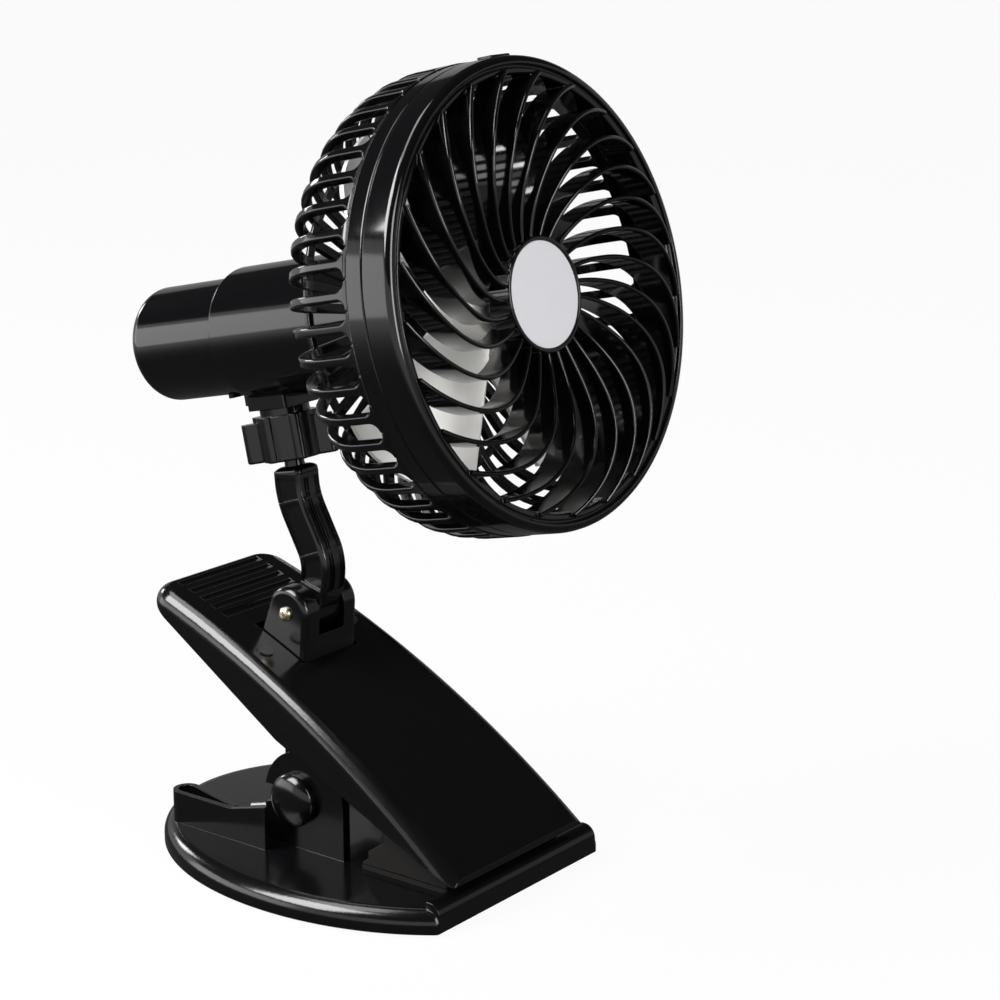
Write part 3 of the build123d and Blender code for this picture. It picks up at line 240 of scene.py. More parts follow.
floor_finish = Finish("studio_floor", Roughness=stage_roughness, Base_Color=grey)
from_camera = floor_finish.node("ShaderNodeLightPath", output="Is Camera Ray")
from_mirror = floor_finish.node("ShaderNodeLightPath", output="Is Glossy Ray")
from_glass = floor_finish.node("ShaderNodeLightPath", output="Is Transmission Ray")
place = floor_finish.place()
outward = floor_finish.node("ShaderNodeVectorMath", {"operation": "LENGTH"}, {0: place}, "Value")
aside = floor_finish.node("ShaderNodeSeparateXYZ", {}, {0: place}, "Y")
far_off = floor_finish.ramp(outward, mirror_reach, (0.0, 1.0))
near_side = floor_finish.ramp(aside, mirror_side, (1.0, mirror_least))
own = Wire(floor_finish, floor_finish.shader.outputs[0])
glow = floor_finish.node("ShaderNodeEmission", {}, {"Color": white, "Strength": 1.0})
gloom = floor_finish.node("ShaderNodeEmission", {}, {"Color": white, "Strength": mirror_dark})
open_sockets = {0: (from_camera + from_glass) * stage_glow, 1: own, 2: glow}
open_view = floor_finish.node("ShaderNodeMixShader", {}, open_sockets)
mirror_view = floor_finish.node("ShaderNodeMixShader", {}, {0: far_off * near_side, 1: gloom, 2: glow})
mixed = floor_finish.node("ShaderNodeMixShader", {}, {0: from_mirror, 1: open_view, 2: mirror_view})
floor_finish.feed(floor_finish.tree.nodes["Material Output"].inputs["Surface"], mixed)
floor_mesh.materials.append(floor_finish.material)
print("stage nodes:", len(floor_finish.tree.nodes))

# %% [markdown]
# Polished black plastic is drawn by what it mirrors, so each lamp is placed for a highlight. One soft lamp
# stands high on the near left, and draws the broad lines along the jaw's shoulder and the rim of the foot.
# A weak wide one, low on the left, makes the bands on the tube and the bezel, and a small one behind it the
# ends of the cage's ribs. One in front lights the badge, the vanes and the blades, and one overhead picks
# out the edges. The dim world fills the rest.

# %% Lamps
lamp_aim = Vector((0.0, 0.0, 0.12))
lamps = {
    "near_softbox": {"way": (-0.38, -0.60, 0.68), "distance": 1.2, "size": (0.7, 0.7), "power": 26.0},
    "left_softbox": {"way": (-0.70, -0.60, 0.13), "distance": 1.3, "size": (1.3, 0.5), "power": 5.0},
    "rear_softbox": {"way": (-0.93, 0.12, 0.33), "distance": 1.3, "size": (0.25, 0.25), "power": 2.5},
    "front_softbox": {"way": (0.93, -0.12, 0.42), "distance": 1.4, "size": (0.5, 0.9), "power": 13.0},
    "top_softbox": {"way": (-0.35, -0.15, 1.0), "distance": 1.5, "size": (0.9, 0.5), "power": 8.0},
}
for name, lamp in lamps.items():
    light = bpy.data.lights.new(name, "AREA")
    light.shape = "RECTANGLE"
    light.size, light.size_y = lamp["size"]
    light.energy = lamp["power"]
    holder = bpy.data.objects.new(name, light)
    bpy.context.scene.collection.objects.link(holder)
    way = Vector(lamp["way"]).normalized()
    holder.location = lamp_aim + way * lamp["distance"]
    holder.rotation_euler = way.to_track_quat("Z", "Y").to_euler()

world_strength = 0.035
world = bpy.data.worlds.new("studio")
bpy.context.scene.world = world
world.use_nodes = True
backdrop = world.node_tree.nodes["Background"]
backdrop.inputs["Color"].default_value = white
backdrop.inputs["Strength"].default_value = world_strength
print("lamps:", list(lamps))

# %% [markdown]
# One finish for each material slot of the record. None of them is quite even: also a polished shell
# has a faint ripple from its mould and thin haze where fingers touch it, and that is what makes a mirrored
# lamp look like one on plastic and not like one on glass. The clip is handled more than the head and comes
# from a duller mould, so its highlights are broader. A bevel in the shader rounds the finest edges.

# %% Polished and satin black plastic
finishes = {}
clip_top = (0.082, 0.092)
edge_round = 0.35 * mm


def polished_black():
    finish = Finish("black_gloss", Base_Color=(0.0022, 0.0022, 0.0026, 1.0), IOR=1.48)
    haze = finish.noise(scale=38.0, detail=4.0, roughness=0.6)
    grime = finish.noise(scale=420.0)
    ripple = finish.noise(scale=260.0, detail=1.0, roughness=0.4)
    height = finish.node("ShaderNodeSeparateXYZ", {}, {0: finish.place()}, "Z")
    on_clip = finish.ramp(height, clip_top, (1.0, 0.0))
    finish.set("Roughness", 0.05 + 0.05 * haze + 0.03 * grime + 0.08 * on_clip)
    finish.bump(ripple, strength=0.01, distance=0.4 * mm, edge=edge_round)
    return finish


def satin_black():
    finish = Finish("black_satin", Base_Color=(0.0028, 0.0028, 0.0032, 1.0), IOR=1.46)
    haze = finish.noise(scale=55.0, detail=3.0, roughness=0.6)
    grain = finish.noise(scale=2600.0, roughness=0.6)
    finish.set("Roughness", 0.10 + 0.08 * haze)
    finish.bump(grain, strength=0.05, distance=0.2 * mm, edge=edge_round)
    return finish


finishes["black_gloss"] = polished_black()
finishes["black_satin"] = satin_black()
print("black plastics:", list(finishes))

# %% [markdown]
# The pads are soft rubber: dull, a touch brown, with dust caught in a fine moulded grain. The badge is the
# one white piece, moulded in a gloss plastic. The blades carry a silver coat with faint streaks, where the
# paint was wiped.

# %% Rubber, white badge and silver blades
def jaw_rubber():
    finish = Finish("jaw_rubber", Specular_IOR_Level=0.2)
    dust = finish.noise(scale=160.0, detail=5.0, roughness=0.65)
    clean = (0.005, 0.0045, 0.0042, 1.0)
    dusty = (0.012, 0.0105, 0.0098, 1.0)
    finish.set("Base Color", finish.blend(dust, clean, dusty))
    finish.set("Roughness", 0.62 + 0.25 * dust)
    finish.bump(finish.noise(scale=1900.0), strength=0.35, distance=0.3 * mm)
    return finish


def white_badge():
    finish = Finish("badge_white", Coat_Weight=0.6, Coat_Roughness=0.06)
    cloud = finish.noise(scale=70.0)
    finish.set("Base Color", finish.blend(cloud, (0.70, 0.70, 0.73, 1.0), (0.74, 0.74, 0.77, 1.0)))
    finish.set("Roughness", 0.14 + 0.08 * cloud)
    return finish


def silver_coat():
    finish = Finish("blade_silver", Metallic=0.5)
    streak = finish.noise(scale=210.0, detail=3.0, roughness=0.6)
    cloud = finish.noise(scale=45.0)
    finish.set("Base Color", finish.blend(cloud, (0.80, 0.79, 0.75, 1.0), (0.88, 0.87, 0.85, 1.0)))
    finish.set("Roughness", 0.34 + 0.14 * streak)
    finish.bump(finish.noise(scale=900.0), strength=0.05, distance=0.2 * mm)
    return finish


finishes["jaw_rubber"] = jaw_rubber()
finishes["badge_white"] = white_badge()
finishes["blade_silver"] = silver_coat()
print("finishes so far:", list(finishes))

# %% [markdown]
# Pin, spring, screws and contacts are plated metal. They share one recipe, a surface with small changes of
# gloss, and differ in tint and in how rough they are.

# %% Metals
def plated(name, tint, shade, smooth, rough):
    finish = Finish(name, Metallic=1.0)
    cloud = finish.noise(scale=320.0, detail=3.0, roughness=0.6)
    finish.set("Base Color", finish.blend(cloud, shade, tint))
    finish.set("Roughness", smooth + (rough - smooth) * cloud)
    finish.bump(finish.noise(scale=2400.0), strength=0.05, distance=0.1 * mm)
    return finish


metals = {
    "steel": {
        "tint": (0.46, 0.46, 0.46, 1.0), "shade": (0.34, 0.34, 0.35, 1.0), "smooth": 0.24, "rough": 0.42,
    },
    "screw_zinc": {
        "tint": (0.88, 0.81, 0.64, 1.0), "shade": (0.66, 0.58, 0.43, 1.0), "smooth": 0.22, "rough": 0.4,
    },
    "contact_nickel": {
        "tint": (0.74, 0.72, 0.68, 1.0), "shade": (0.6, 0.58, 0.55, 1.0), "smooth": 0.2, "rough": 0.35,
    },
}
for name, look in metals.items():
    finishes[name] = plated(name, **look)
print("metals:", list(metals))

# %% [markdown]
# Black screws, the wrap of the cell, the board and the lens are painted, dyed or printed, so they share a
# recipe without metal. Most of them lie inside the housing. They get true finishes too, because the cell
# shows when the battery cover is drawn off, and the lens shows always.

# %% Coats of the small pieces
def coated(name, tint, shade, rough, scale):
    finish = Finish(name)
    cloud = finish.noise(scale, detail=3.0, roughness=0.6)
    finish.set("Base Color", finish.blend(cloud, shade, tint))
    finish.set("Roughness", rough + 0.1 * cloud)
    finish.bump(cloud, strength=0.08, distance=0.2 * mm)
    return finish


coats = {
    "screw_black": {
        "tint": (0.02, 0.02, 0.021, 1.0), "shade": (0.01, 0.01, 0.011, 1.0), "rough": 0.3, "scale": 700.0,
    },
    "cell_wrap": {
        "tint": (0.05, 0.18, 0.42, 1.0), "shade": (0.03, 0.13, 0.33, 1.0), "rough": 0.22, "scale": 60.0,
    },
    "board_green": {
        "tint": (0.03, 0.16, 0.07, 1.0), "shade": (0.015, 0.10, 0.045, 1.0), "rough": 0.35, "scale": 500.0,
    },
    "lens_clear": {
        "tint": (0.85, 0.86, 0.82, 1.0), "shade": (0.75, 0.76, 0.72, 1.0), "rough": 0.12, "scale": 400.0,
    },
}
for name, look in coats.items():
    finishes[name] = coated(name, **look)
print("coats:", list(coats))

# %% [markdown]
# The record says which slot each node takes its finish from. The solids arrive with a plain material each,
# so that is cleared first.

# %% Finishes on the solids
slot_of = {row["node"]: row["material_slot"] for row in frame["record"]["subparts"]}
for node, solid in frame["nodes"].items():
    solid.data.materials.clear()
    solid.data.materials.append(finishes[slot_of[node]].material)
print("finishes:", len(finishes), "on", len(slot_of), "nodes")

# %% [markdown]
# The head is built round one axis, so its pieces are drawn in the axis's own terms: how far out, at what
# angle from the top, and how far along. The axis and its middle point come from the joint that the blades
# turn on, and nothing has to be fitted by eye.

# %% The head's own directions
head_spot = Vector(joints["blade_spin"]["pos_m"])
axis_way = Vector(joints["blade_spin"]["axis"]).normalized()
up_way = Vector((-axis_way.z, 0.0, axis_way.x))
far_way = Vector((0.0, 1.0, 0.0))


def head_point(radius, angle, along):
    """Place of a point of the head, in millimetres out, radians from the top and millimetres forward."""
    out = up_way * cos(angle) + far_way * sin(angle)
    return head_spot + (out * radius + axis_way * along) * mm


print("head axis", [round(value, 3) for value in axis_way])

# %% [markdown]
# Moulded plastic has no knife edges: every corner has a small radius, and that radius is what draws the
# bright line round a part. A bevel modifier could add it afterwards, but on outlines that are known it is
# simpler to draw the corner round in the outline itself and then spin or sweep it.

# %% Outline and skin helpers
corner_steps = 4


def rounded(corners):
    """Closed outline whose corners (x, y, radius) become short arcs."""
    outline = []
    for index, (x, y, radius) in enumerate(corners):
        if radius == 0:
            outline.append((x, y))
            continue
        here = Vector((x, y))
        back = (Vector(corners[index - 1][:2]) - here).normalized()
        on = (Vector(corners[(index + 1) % len(corners)][:2]) - here).normalized()
        half = back.angle(on) / 2
        middle = here + (back + on).normalized() * (radius / sin(half))
        start = here + back * (radius / tan(half)) - middle
        end = here + on * (radius / tan(half)) - middle
        first = atan2(start.y, start.x)
        turn = (atan2(end.y, end.x) - first + pi) % (2 * pi) - pi
        for step in range(corner_steps + 1):
            angle = first + turn * step / corner_steps
            outline.append((middle.x + radius * cos(angle), middle.y + radius * sin(angle)))
    return outline


def skin(builder, sections, ring=False):
    """Quads from each closed section to the next, with capped ends unless the sections form a ring."""
    loops = [[builder.verts.new(point) for point in section] for section in sections]
    pairs = list(zip(loops, loops[1:]))
    if ring:
        pairs.append((loops[-1], loops[0]))
    for first, second in pairs:
        for index in range(len(first)):
            after = (index + 1) % len(first)
            builder.faces.new((first[index], first[after], second[after], second[index]))
    if not ring:
        builder.faces.new(loops[0])
        builder.faces.new(reversed(loops[-1]))


def spin(builder, outline, place_point, sides):
    """An outline of (radius, along) spun all the way round, with place_point giving each point its spot."""
    sections = []
    for side in range(sides):
        turn = 2 * pi * side / sides
        sections.append([place_point(radius, turn, along) for radius, along in outline])
    skin(builder, sections, ring=True)


print("corners drawn with", corner_steps, "steps")

# %% [markdown]
# Every new piece ends the same way: points that lie on each other are welded, the faces are turned to look
# outwards, and the mesh becomes an object. Most pieces ride on one body of the frame and stand for a solid
# that they replace. The spring rides on no body, and the arm's shoulder replaces nothing.

# %% Piece helper
weld_distance = 0.002 * mm


def piece(name, builder, slot, body, *nodes, sharp=40.0):
    """The finished mesh as an object that rides on its body, if one is given, and stands for the nodes."""
    bmesh.ops.remove_doubles(builder, verts=builder.verts, dist=weld_distance)
    bmesh.ops.recalc_face_normals(builder, faces=builder.faces)
    mesh = bpy.data.meshes.new(name)
    builder.to_mesh(mesh)
    builder.free()
    mesh.shade_smooth()
    mesh.set_sharp_from_angle(angle=radians(sharp))
    mesh.materials.append(finishes[slot].material)
    made = bpy.data.objects.new(name, mesh)
    bpy.context.scene.collection.objects.link(made)
    made.modifiers.new("even_normals", "WEIGHTED_NORMAL").keep_sharp = True
    if body:
        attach(made, body)
    if nodes:
        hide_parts(*nodes)
    print(name, "faces:", len(mesh.polygons))
    return made


print("points closer than", weld_distance, "m are welded")

# %% [markdown]
# The front grille is one moulding on the real fan: a bezel, a small hub cup and a fan of swept vanes under
# a dome. A vane is a strip on edge, so it is swept: a section with a round front edge stands square to the
# vane's centre line, and follows it from the hub to the bezel. The round edge is what shows as a thin
# bright line in front of the dark flank. Sweep and dome are cubics in the share of the way out.

# %% Vanes of the front grille
hub_radius = 16.3
bezel_inner = 60.5
vane_count = 25
vane_first = 12.5
vane_thickness = 1.3
vane_depth = 9.0
vane_sweep = (23.3, 1.0, 16.9)
vane_rear_round = 0.3
vane_front_share = 0.96
dome_front = -1.6
dome_curve = (7.09, 22.28, -26.33)
slope_step = 0.01


def along_vane(radius, terms):
    """Cubic in the share of the way from hub to bezel."""
    share = (radius - hub_radius) / (bezel_inner - hub_radius)
    return terms[0] * share + terms[1] * share ** 2 + terms[2] * share ** 3


def vane_angle(radius, number):
    return radians(vane_first + along_vane(radius, vane_sweep) - 360 / vane_count * number)


def vane_section(radius, number):
    """Points round the vane where it passes that radius."""
    angle = vane_angle(radius, number)
    ahead = vane_angle(radius + slope_step, number)
    behind = vane_angle(radius - slope_step, number)
    lean = (ahead - behind) / (2 * slope_step) * radius
    half = vane_thickness / 2
    front = dome_front + along_vane(radius, dome_curve)
    front_round = vane_front_share * half
    corners = [
        (-half, front - vane_depth, vane_rear_round), (half, front - vane_depth, vane_rear_round),
        (half, front, front_round), (-half, front, front_round),
    ]
    points = []
    for offset, along in rounded(corners):
        out = -offset * lean / hypot(1, lean)
        across = offset / hypot(1, lean)
        spot = Vector((radius + out, across))
        points.append(head_point(spot.length, angle + atan2(spot.y, spot.x), along))
    return points


print("vanes:", vane_count, "swept by", round(sum(vane_sweep), 1), "degrees")

# %% [markdown]
# The bezel is the ring that frames the vanes. Its outline has a round front edge, a fine groove that sets
# off the inner rim, and a slot at the back for the cage's spigot. The hub cup in the middle has a ledge for
# the badge. Both are round, so an outline that is spun gives them exactly.

# %% Outlines of bezel and hub
bezel_outer = 66.0
bezel_rear = -9.5
bezel_wall = 2.0
bezel_edge = 2.0
rim_step = 0.5
rim_edge = 0.9
groove_mouth = (62.2, 63.5)
groove_floor = (62.5, 63.0)
groove_depth = 1.0
slot_floor = -4.0
fine_round = 0.3
small_round = 0.4
bezel_corners = [
    (bezel_outer, bezel_rear, small_round), (bezel_outer, 0.0, bezel_edge),
    (groove_mouth[1], 0.0, small_round), (groove_floor[1], -groove_depth, fine_round),
    (groove_floor[0], -groove_depth, fine_round), (groove_mouth[0], -rim_step, small_round),
    (bezel_inner, -rim_step, rim_edge), (bezel_inner, bezel_rear, fine_round),
    (bezel_inner + bezel_wall, bezel_rear, 0.0), (bezel_inner + bezel_wall, slot_floor, 0.0),
    (bezel_outer - bezel_wall, slot_floor, 0.0), (bezel_outer - bezel_wall, bezel_rear, 0.0),
]

hub_wall = 1.2
hub_front = -0.6
hub_rear = -8.6
hub_front_round = 0.5
hub_rear_round = 0.6
badge_seat = -2.5
badge_ledge = 1.6
hub_inner = hub_radius - hub_wall
hub_corners = [
    (hub_radius, hub_rear, hub_rear_round), (hub_radius, hub_front, hub_front_round),
    (hub_inner, hub_front, fine_round), (hub_inner, badge_seat, 0.0),
    (hub_inner - badge_ledge, badge_seat, 0.0), (hub_inner - badge_ledge, hub_rear + hub_wall, 0.0),
    (0.0, hub_rear + hub_wall, 0.0), (0.0, hub_rear, 0.0),
]
print("bezel", 2 * bezel_outer, "mm across, hub", 2 * hub_radius, "mm")

# %% [markdown]
# A small latch tab stands on top of the bezel, where a thumb opens the grille. It is a rounded oblong that
# is drawn in a little at its top, as a moulded step is.

# %% Latch tab
tab_width = 9.0
tab_length = 5.0
tab_height = 0.5
tab_round = 0.6
tab_soft = 0.2
tab_draft = 0.93
four_corners = ((-1, -1), (1, -1), (1, 1), (-1, 1))
tab_middle = bezel_rear / 2
tab_top = bezel_outer + tab_height
tab_levels = ((bezel_outer - bezel_wall / 2, 1.0), (tab_top - tab_soft, 1.0), (tab_top, tab_draft))
tab_outline = rounded([(i * tab_width / 2, j * tab_length / 2, tab_round) for i, j in four_corners])


def tab_ring(level, scale):
    """The tab's outline at that height over the axis, at that scale."""
    ring = []
    for aside, ahead in tab_outline:
        flat = far_way * aside * scale + axis_way * (tab_middle + ahead * scale)
        ring.append(head_spot + (up_way * level + flat) * mm)
    return ring


print("latch tab", tab_width, "x", tab_length, "mm")

# %% [markdown]
# Now the grille goes together as one mesh: bezel and hub spun round the head's axis, the vanes skinned
# between them, and the tab on top. The vanes start and end inside the walls, so that no gap shows.

# %% Front grille
head_sides = 180
vane_stations = 30
vane_inner = hub_radius - hub_wall / 2
vane_outer = bezel_inner + bezel_wall / 2
vane_radii = [
    vane_inner + (vane_outer - vane_inner) * station / vane_stations for station in range(vane_stations + 1)
]
grille = bmesh.new()
spin(grille, rounded(bezel_corners), head_point, head_sides)
spin(grille, rounded(hub_corners), head_point, head_sides)
for number in range(vane_count):
    skin(grille, [vane_section(radius, number) for radius in vane_radii])
skin(grille, [tab_ring(level, scale) for level, scale in tab_levels])
piece("grille", grille, "black_gloss", "head", "front_grille")

# %% [markdown]
# The badge is a thin white disc, pressed into the hub cup. It is drawn as a very flat lens with a round
# rim, because a truly flat disc mirrors one spot of the room and looks like paper. Its face stays bare.

# %% Badge
badge_gap = 0.1
badge_radius = hub_inner - badge_gap
badge_front = -0.9
badge_crown = 0.25
badge_rim = 0.4
badge_rim_cut = 0.116
badge_steps = 10
badge_sides = 128
badge_outline = [(0.0, badge_seat), (badge_radius, badge_seat), (badge_radius, badge_front - badge_rim)]
badge_outline.append((badge_radius - badge_rim_cut, badge_front - badge_rim_cut))
for step in range(1, badge_steps + 1):
    share = 1 - step / badge_steps
    badge_outline.append(((badge_radius - badge_rim) * share, badge_front + badge_crown * (1 - share ** 2)))
badge = bmesh.new()
spin(badge, badge_outline, head_point, badge_sides)
piece("badge", badge, "badge_white", "head", "hub_badge")

# %% [markdown]
# The rear cage is a basket of thin ribs that spring from a band, bend over and run in to a plate on the
# motor. Each rib is swept along that line. Where it meets the band it grows wider on a quarter circle, so
# that the slot between two ribs ends in a round, as a moulder makes it: a square slot end would crack.

# %% Ribs of the rear cage
band_rear = -15.7
cage_radius = 66.3
cage_wall = 2.6
cage_back = -47.0
cage_bend = 21.0
cage_ribs = 49
cage_first = 272.0
plate_radius = 29.0
rib_width = 2.6
rib_edge = 0.7
rib_root = 0.6
rib_straight = 3.0
slot_steps = 8
bend_steps = 12
slot_round = (2 * pi * cage_radius / cage_ribs - rib_width) / 2
bend_radius = cage_radius - cage_bend
bend_along = cage_back + cage_bend


def rib_half(along):
    """Half the rib's width, which grows towards the band."""
    gap = max(0.0, band_rear - along)
    if gap >= slot_round:
        return rib_width / 2
    return rib_width / 2 + slot_round - sqrt(slot_round ** 2 - (slot_round - gap) ** 2)


def rib_line():
    """Stations of a rib: radius and place of its outer face, the way in from there, and its half width."""
    places = [band_rear + rib_root]
    places += [band_rear - slot_round * (step / slot_steps) ** 2 for step in range(slot_steps + 1)]
    places += [bend_along + rib_straight, bend_along]
    stations = [(cage_radius, along, (-1.0, 0.0), rib_half(along)) for along in places]
    for step in range(1, bend_steps + 1):
        turn = pi / 2 * step / bend_steps
        radius = bend_radius + cage_bend * cos(turn)
        along = bend_along - cage_bend * sin(turn)
        stations.append((radius, along, (-cos(turn), sin(turn)), rib_width / 2))
    stations.append((plate_radius - cage_wall, cage_back, (0.0, 1.0), rib_width / 2))
    return stations


def rib_section(station, turn):
    """Points round the rib at that station, bent round the head's axis."""
    radius, along, inward, half = station
    corners = [
        (-half, cage_wall, fine_round), (half, cage_wall, fine_round),
        (half, 0.0, rib_edge), (-half, 0.0, rib_edge),
    ]
    points = []
    for offset, depth in rounded(corners):
        level = radius + inward[0] * depth
        points.append(head_point(level, turn + offset / level, along + inward[1] * depth))
    return points


print("slot between ribs:", round(2 * slot_round, 2), "mm")

# %% [markdown]
# What holds the ribs is round: the band with the spigot that goes into the bezel, a thin ring that ties the
# ribs together on the back, and the plate that is screwed to the motor housing. Each is an outline to spin.

# %% Band, ring and plate of the cage
band_front = -9.6
band_wall = 3.6
band_front_round = 0.5
band_rear_round = 0.7
spigot_length = 4.0
spigot_gap = 0.1
spigot_inner = bezel_inner + bezel_wall + spigot_gap
spigot_outer = bezel_outer - bezel_wall - spigot_gap
band_corners = [
    (bezel_outer, band_front, band_front_round), (bezel_outer, band_rear, band_rear_round),
    (bezel_outer - band_wall, band_rear, band_front_round), (bezel_outer - band_wall, band_front, 0.0),
    (spigot_inner, band_front, 0.0), (spigot_inner, band_front + spigot_length, 0.0),
    (spigot_outer, band_front + spigot_length, 0.0), (spigot_outer, band_front, 0.0),
]

ring_radius = 48.3
ring_width = 2.6
ring_round = 0.5
ring_inner = ring_radius - ring_width / 2
ring_outer = ring_radius + ring_width / 2
ring_corners = [
    (ring_inner, cage_back + cage_wall / 2, fine_round), (ring_outer, cage_back + cage_wall / 2, fine_round),
    (ring_outer, cage_back + cage_wall, ring_round), (ring_inner, cage_back + cage_wall, ring_round),
]

plate_thickness = 3.2
plate_bore = 4.1
plate_rear_round = 0.5
plate_front_round = 0.8
plate_front = cage_back + plate_thickness
plate_corners = [
    (plate_bore, cage_back, 0.0), (plate_radius, cage_back, plate_rear_round),
    (plate_radius, plate_front, plate_front_round), (plate_bore, plate_front, fine_round),
]
print("spigot between", spigot_inner, "and", spigot_outer, "mm")

# %% [markdown]
# The cage goes together in the same way as the grille. All ribs are the same line, turned round the axis.

# %% Rear cage
cage = bmesh.new()
for corners in (band_corners, ring_corners, plate_corners):
    spin(cage, rounded(corners), head_point, head_sides)
for number in range(cage_ribs):
    turn = radians(cage_first + 360 / cage_ribs * number)
    skin(cage, [rib_section(station, turn) for station in rib_line()])
piece("cage", cage, "black_gloss", "head", "rear_cage")

# %% [markdown]
# The clip holds with rubber. A thin mat lies on the lower jaw, and a thick stepped block hangs under the
# upper one. Both are extruded profiles, so one outline is carried from side to side and drawn in a little
# at its ends. Grip ribs lie across both, and stop short of the sides: there the outline has almost no
# groove, and the skin between the two outlines closes it.

# %% Jaw pad helpers
end_round = 0.5
end_soft = 0.15
grip_pitch = 2.7
grip_depth = 0.6
grip_none = 0.02
grip_margin = 1.8
grip_slope = 0.3
tooth_foot = 0.10
tooth_top = 0.22
tooth_round = 0.05


def drawn_in(outline, amount):
    """The outline with each point moved that far towards its middle."""
    middle = sum((Vector(point) for point in outline), Vector((0.0, 0.0))) / len(outline)
    moved = []
    for point in outline:
        way = middle - Vector(point)
        moved.append(tuple(Vector(point) + way.normalized() * amount))
    return moved


def extruded(builder, outline_at, half):
    """An outline of (x, z), given for a depth of groove, carried across the clip with its ends drawn in."""
    levels = [
        (half, end_round, grip_none), (half - end_soft, end_soft, grip_none),
        (half - end_round, 0.0, grip_none), (half - grip_margin, 0.0, grip_none),
        (half - grip_margin - grip_slope, 0.0, grip_depth),
    ]
    levels = [(-level, amount, depth) for level, amount, depth in levels] + levels[::-1]
    skin(builder, [
        [Vector((x, level, z)) * mm for x, z in drawn_in(outline_at(depth), amount)]
        for level, amount, depth in levels
    ])


def ribs_between(rear, front, low, high):
    """Corners of a row of ribs from rear to front, low between them and high on them."""
    count = int((front - rear) / grip_pitch)
    step = (front - rear) / count
    profile = ((tooth_foot, low), (tooth_top, high), (1 - tooth_top, high), (1 - tooth_foot, low))
    corners = []
    for number in range(count):
        corners += [(rear + step * (number + share), level, tooth_round) for share, level in profile]
    return corners


print("grip ribs every", grip_pitch, "mm")

# %% [markdown]
# The lower pad is the mat. Its size comes from the box of the solid that it stands for, so it fits the
# recess in the jaw without a length of its own.

# %% Lower jaw pad
mat_round = 0.3
mat_margin = 0.4
mat_low, mat_high = (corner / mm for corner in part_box("lower_jaw_pad"))


def mat_outline(depth):
    level = mat_high.z - depth
    corners = [(mat_high.x, mat_low.z, 0.0), (mat_low.x, mat_low.z, 0.0), (mat_low.x, level, mat_round)]
    corners += ribs_between(mat_low.x + mat_margin, mat_high.x - mat_margin, level, mat_high.z)
    corners += [(mat_high.x, level, mat_round)]
    return rounded(corners)


mat = bmesh.new()
extruded(mat, mat_outline, mat_high.y)
piece("lower_pad", mat, "jaw_rubber", "base", "lower_jaw_pad")

# %% [markdown]
# The upper pad is the block. From its toe at the rear it steps up to a shelf, so that round rods find a
# seat, and its front follows the slope of the jaw's nose. The teeth are drawn upside down, because the row
# of ribs looks up.

# %% Upper jaw pad
toe = (2.6, 1.9)
toe_round = 0.2
riser = 2.3
slope = (6.0, 4.2)
shelf_round = 0.4
nose_drop = 11.0
nose_round = 0.3
teeth_margin = 1.0
block_low, block_high = (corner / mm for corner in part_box("upper_jaw_pad"))
heel = (block_low.x + toe[0], block_low.z + toe[1])
shelf = (heel[0] + slope[0], heel[1] + riser + slope[1])


def block_outline(depth):
    corners = [
        (block_low.x, block_low.z, toe_round), (heel[0], heel[1], shelf_round),
        (heel[0], heel[1] + riser, shelf_round), (shelf[0], shelf[1], shelf_round),
        (shelf[0], block_high.z, nose_round), (block_high.x, block_high.z - nose_drop, nose_round),
    ]
    teeth = ribs_between(block_low.x + teeth_margin, block_high.x, -block_low.z - depth, -block_low.z)
    return rounded(corners + [(x, -z, radius) for x, z, radius in reversed(teeth)])


block = bmesh.new()
extruded(block, block_outline, block_high.y)
piece("upper_pad", block, "jaw_rubber", "jaw", "upper_jaw_pad")

# %% [markdown]
# A third piece of rubber covers the underside of the foot, and keeps it from sliding. It is a flat oval
# with the foot's straight front. Its outline is drawn in at the floor, so that the edge is round, and a
# shallow groove runs round it a little way in.

# %% Foot pad
oval_middle = -3.3
oval_half_length = 72.0
oval_half_width = 54.2
oval_points = 120
sole_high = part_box("base_pad")[1] / mm

# Height and inset of each ring of points: down the side and round the edge, then over the groove.
sole_edge = ((sole_high.z, 0.0), (0.45, 0.0), (0.2, 0.12), (0.06, 0.35), (0.0, 0.7))
sole_groove = ((0.0, 5.0), (0.25, 5.4), (0.25, 7.6), (0.0, 8.0))


def sole_outline(inset):
    points = []
    for number in range(oval_points):
        turn = 2 * pi * number / oval_points
        x = oval_middle + (oval_half_length - inset) * cos(turn)
        y = (oval_half_width - inset) * sin(turn)
        points.append((min(x, sole_high.x - inset), y))
    return points


sole = bmesh.new()
skin(sole, [
    [Vector((x, y, height)) * mm for x, y in sole_outline(inset)]
    for height, inset in sole_edge + sole_groove
])
piece("foot_pad", sole, "jaw_rubber", "base", "base_pad")

# %% [markdown]
# The hinge pin ends in a press-on button on each side, a soft dome that takes one broad highlight. It is
# a little fuller than part of an ellipse, spun round the pin.

# %% Hinge buttons
hinge_spot = Vector(joints["clip_open"]["pos_m"])
button_face = 26.5
button_radius = 8.3
button_height = 4.9
button_skirt = 1.5
button_soft = 0.8
button_steps = 14
button_sides = 72
button_outline = [(0.0, 0.0), (button_radius, 0.0), (button_radius, button_skirt)]
for step in range(1, button_steps):
    turn = pi / 2 * step / button_steps
    height = button_skirt + (button_height - button_skirt) * sin(turn)
    button_outline.append((button_radius * cos(turn) ** button_soft, height))
button_outline.append((0.0, button_height))


def beside_hinge(side):
    """Place of a point round the pin, on the near side for -1 and on the far side for 1."""
    def place_point(radius, angle, along):
        out = Vector((cos(angle), 0.0, sin(angle))) * radius
        return hinge_spot + (out + Vector((0.0, side * (button_face + along), 0.0))) * mm
    return place_point


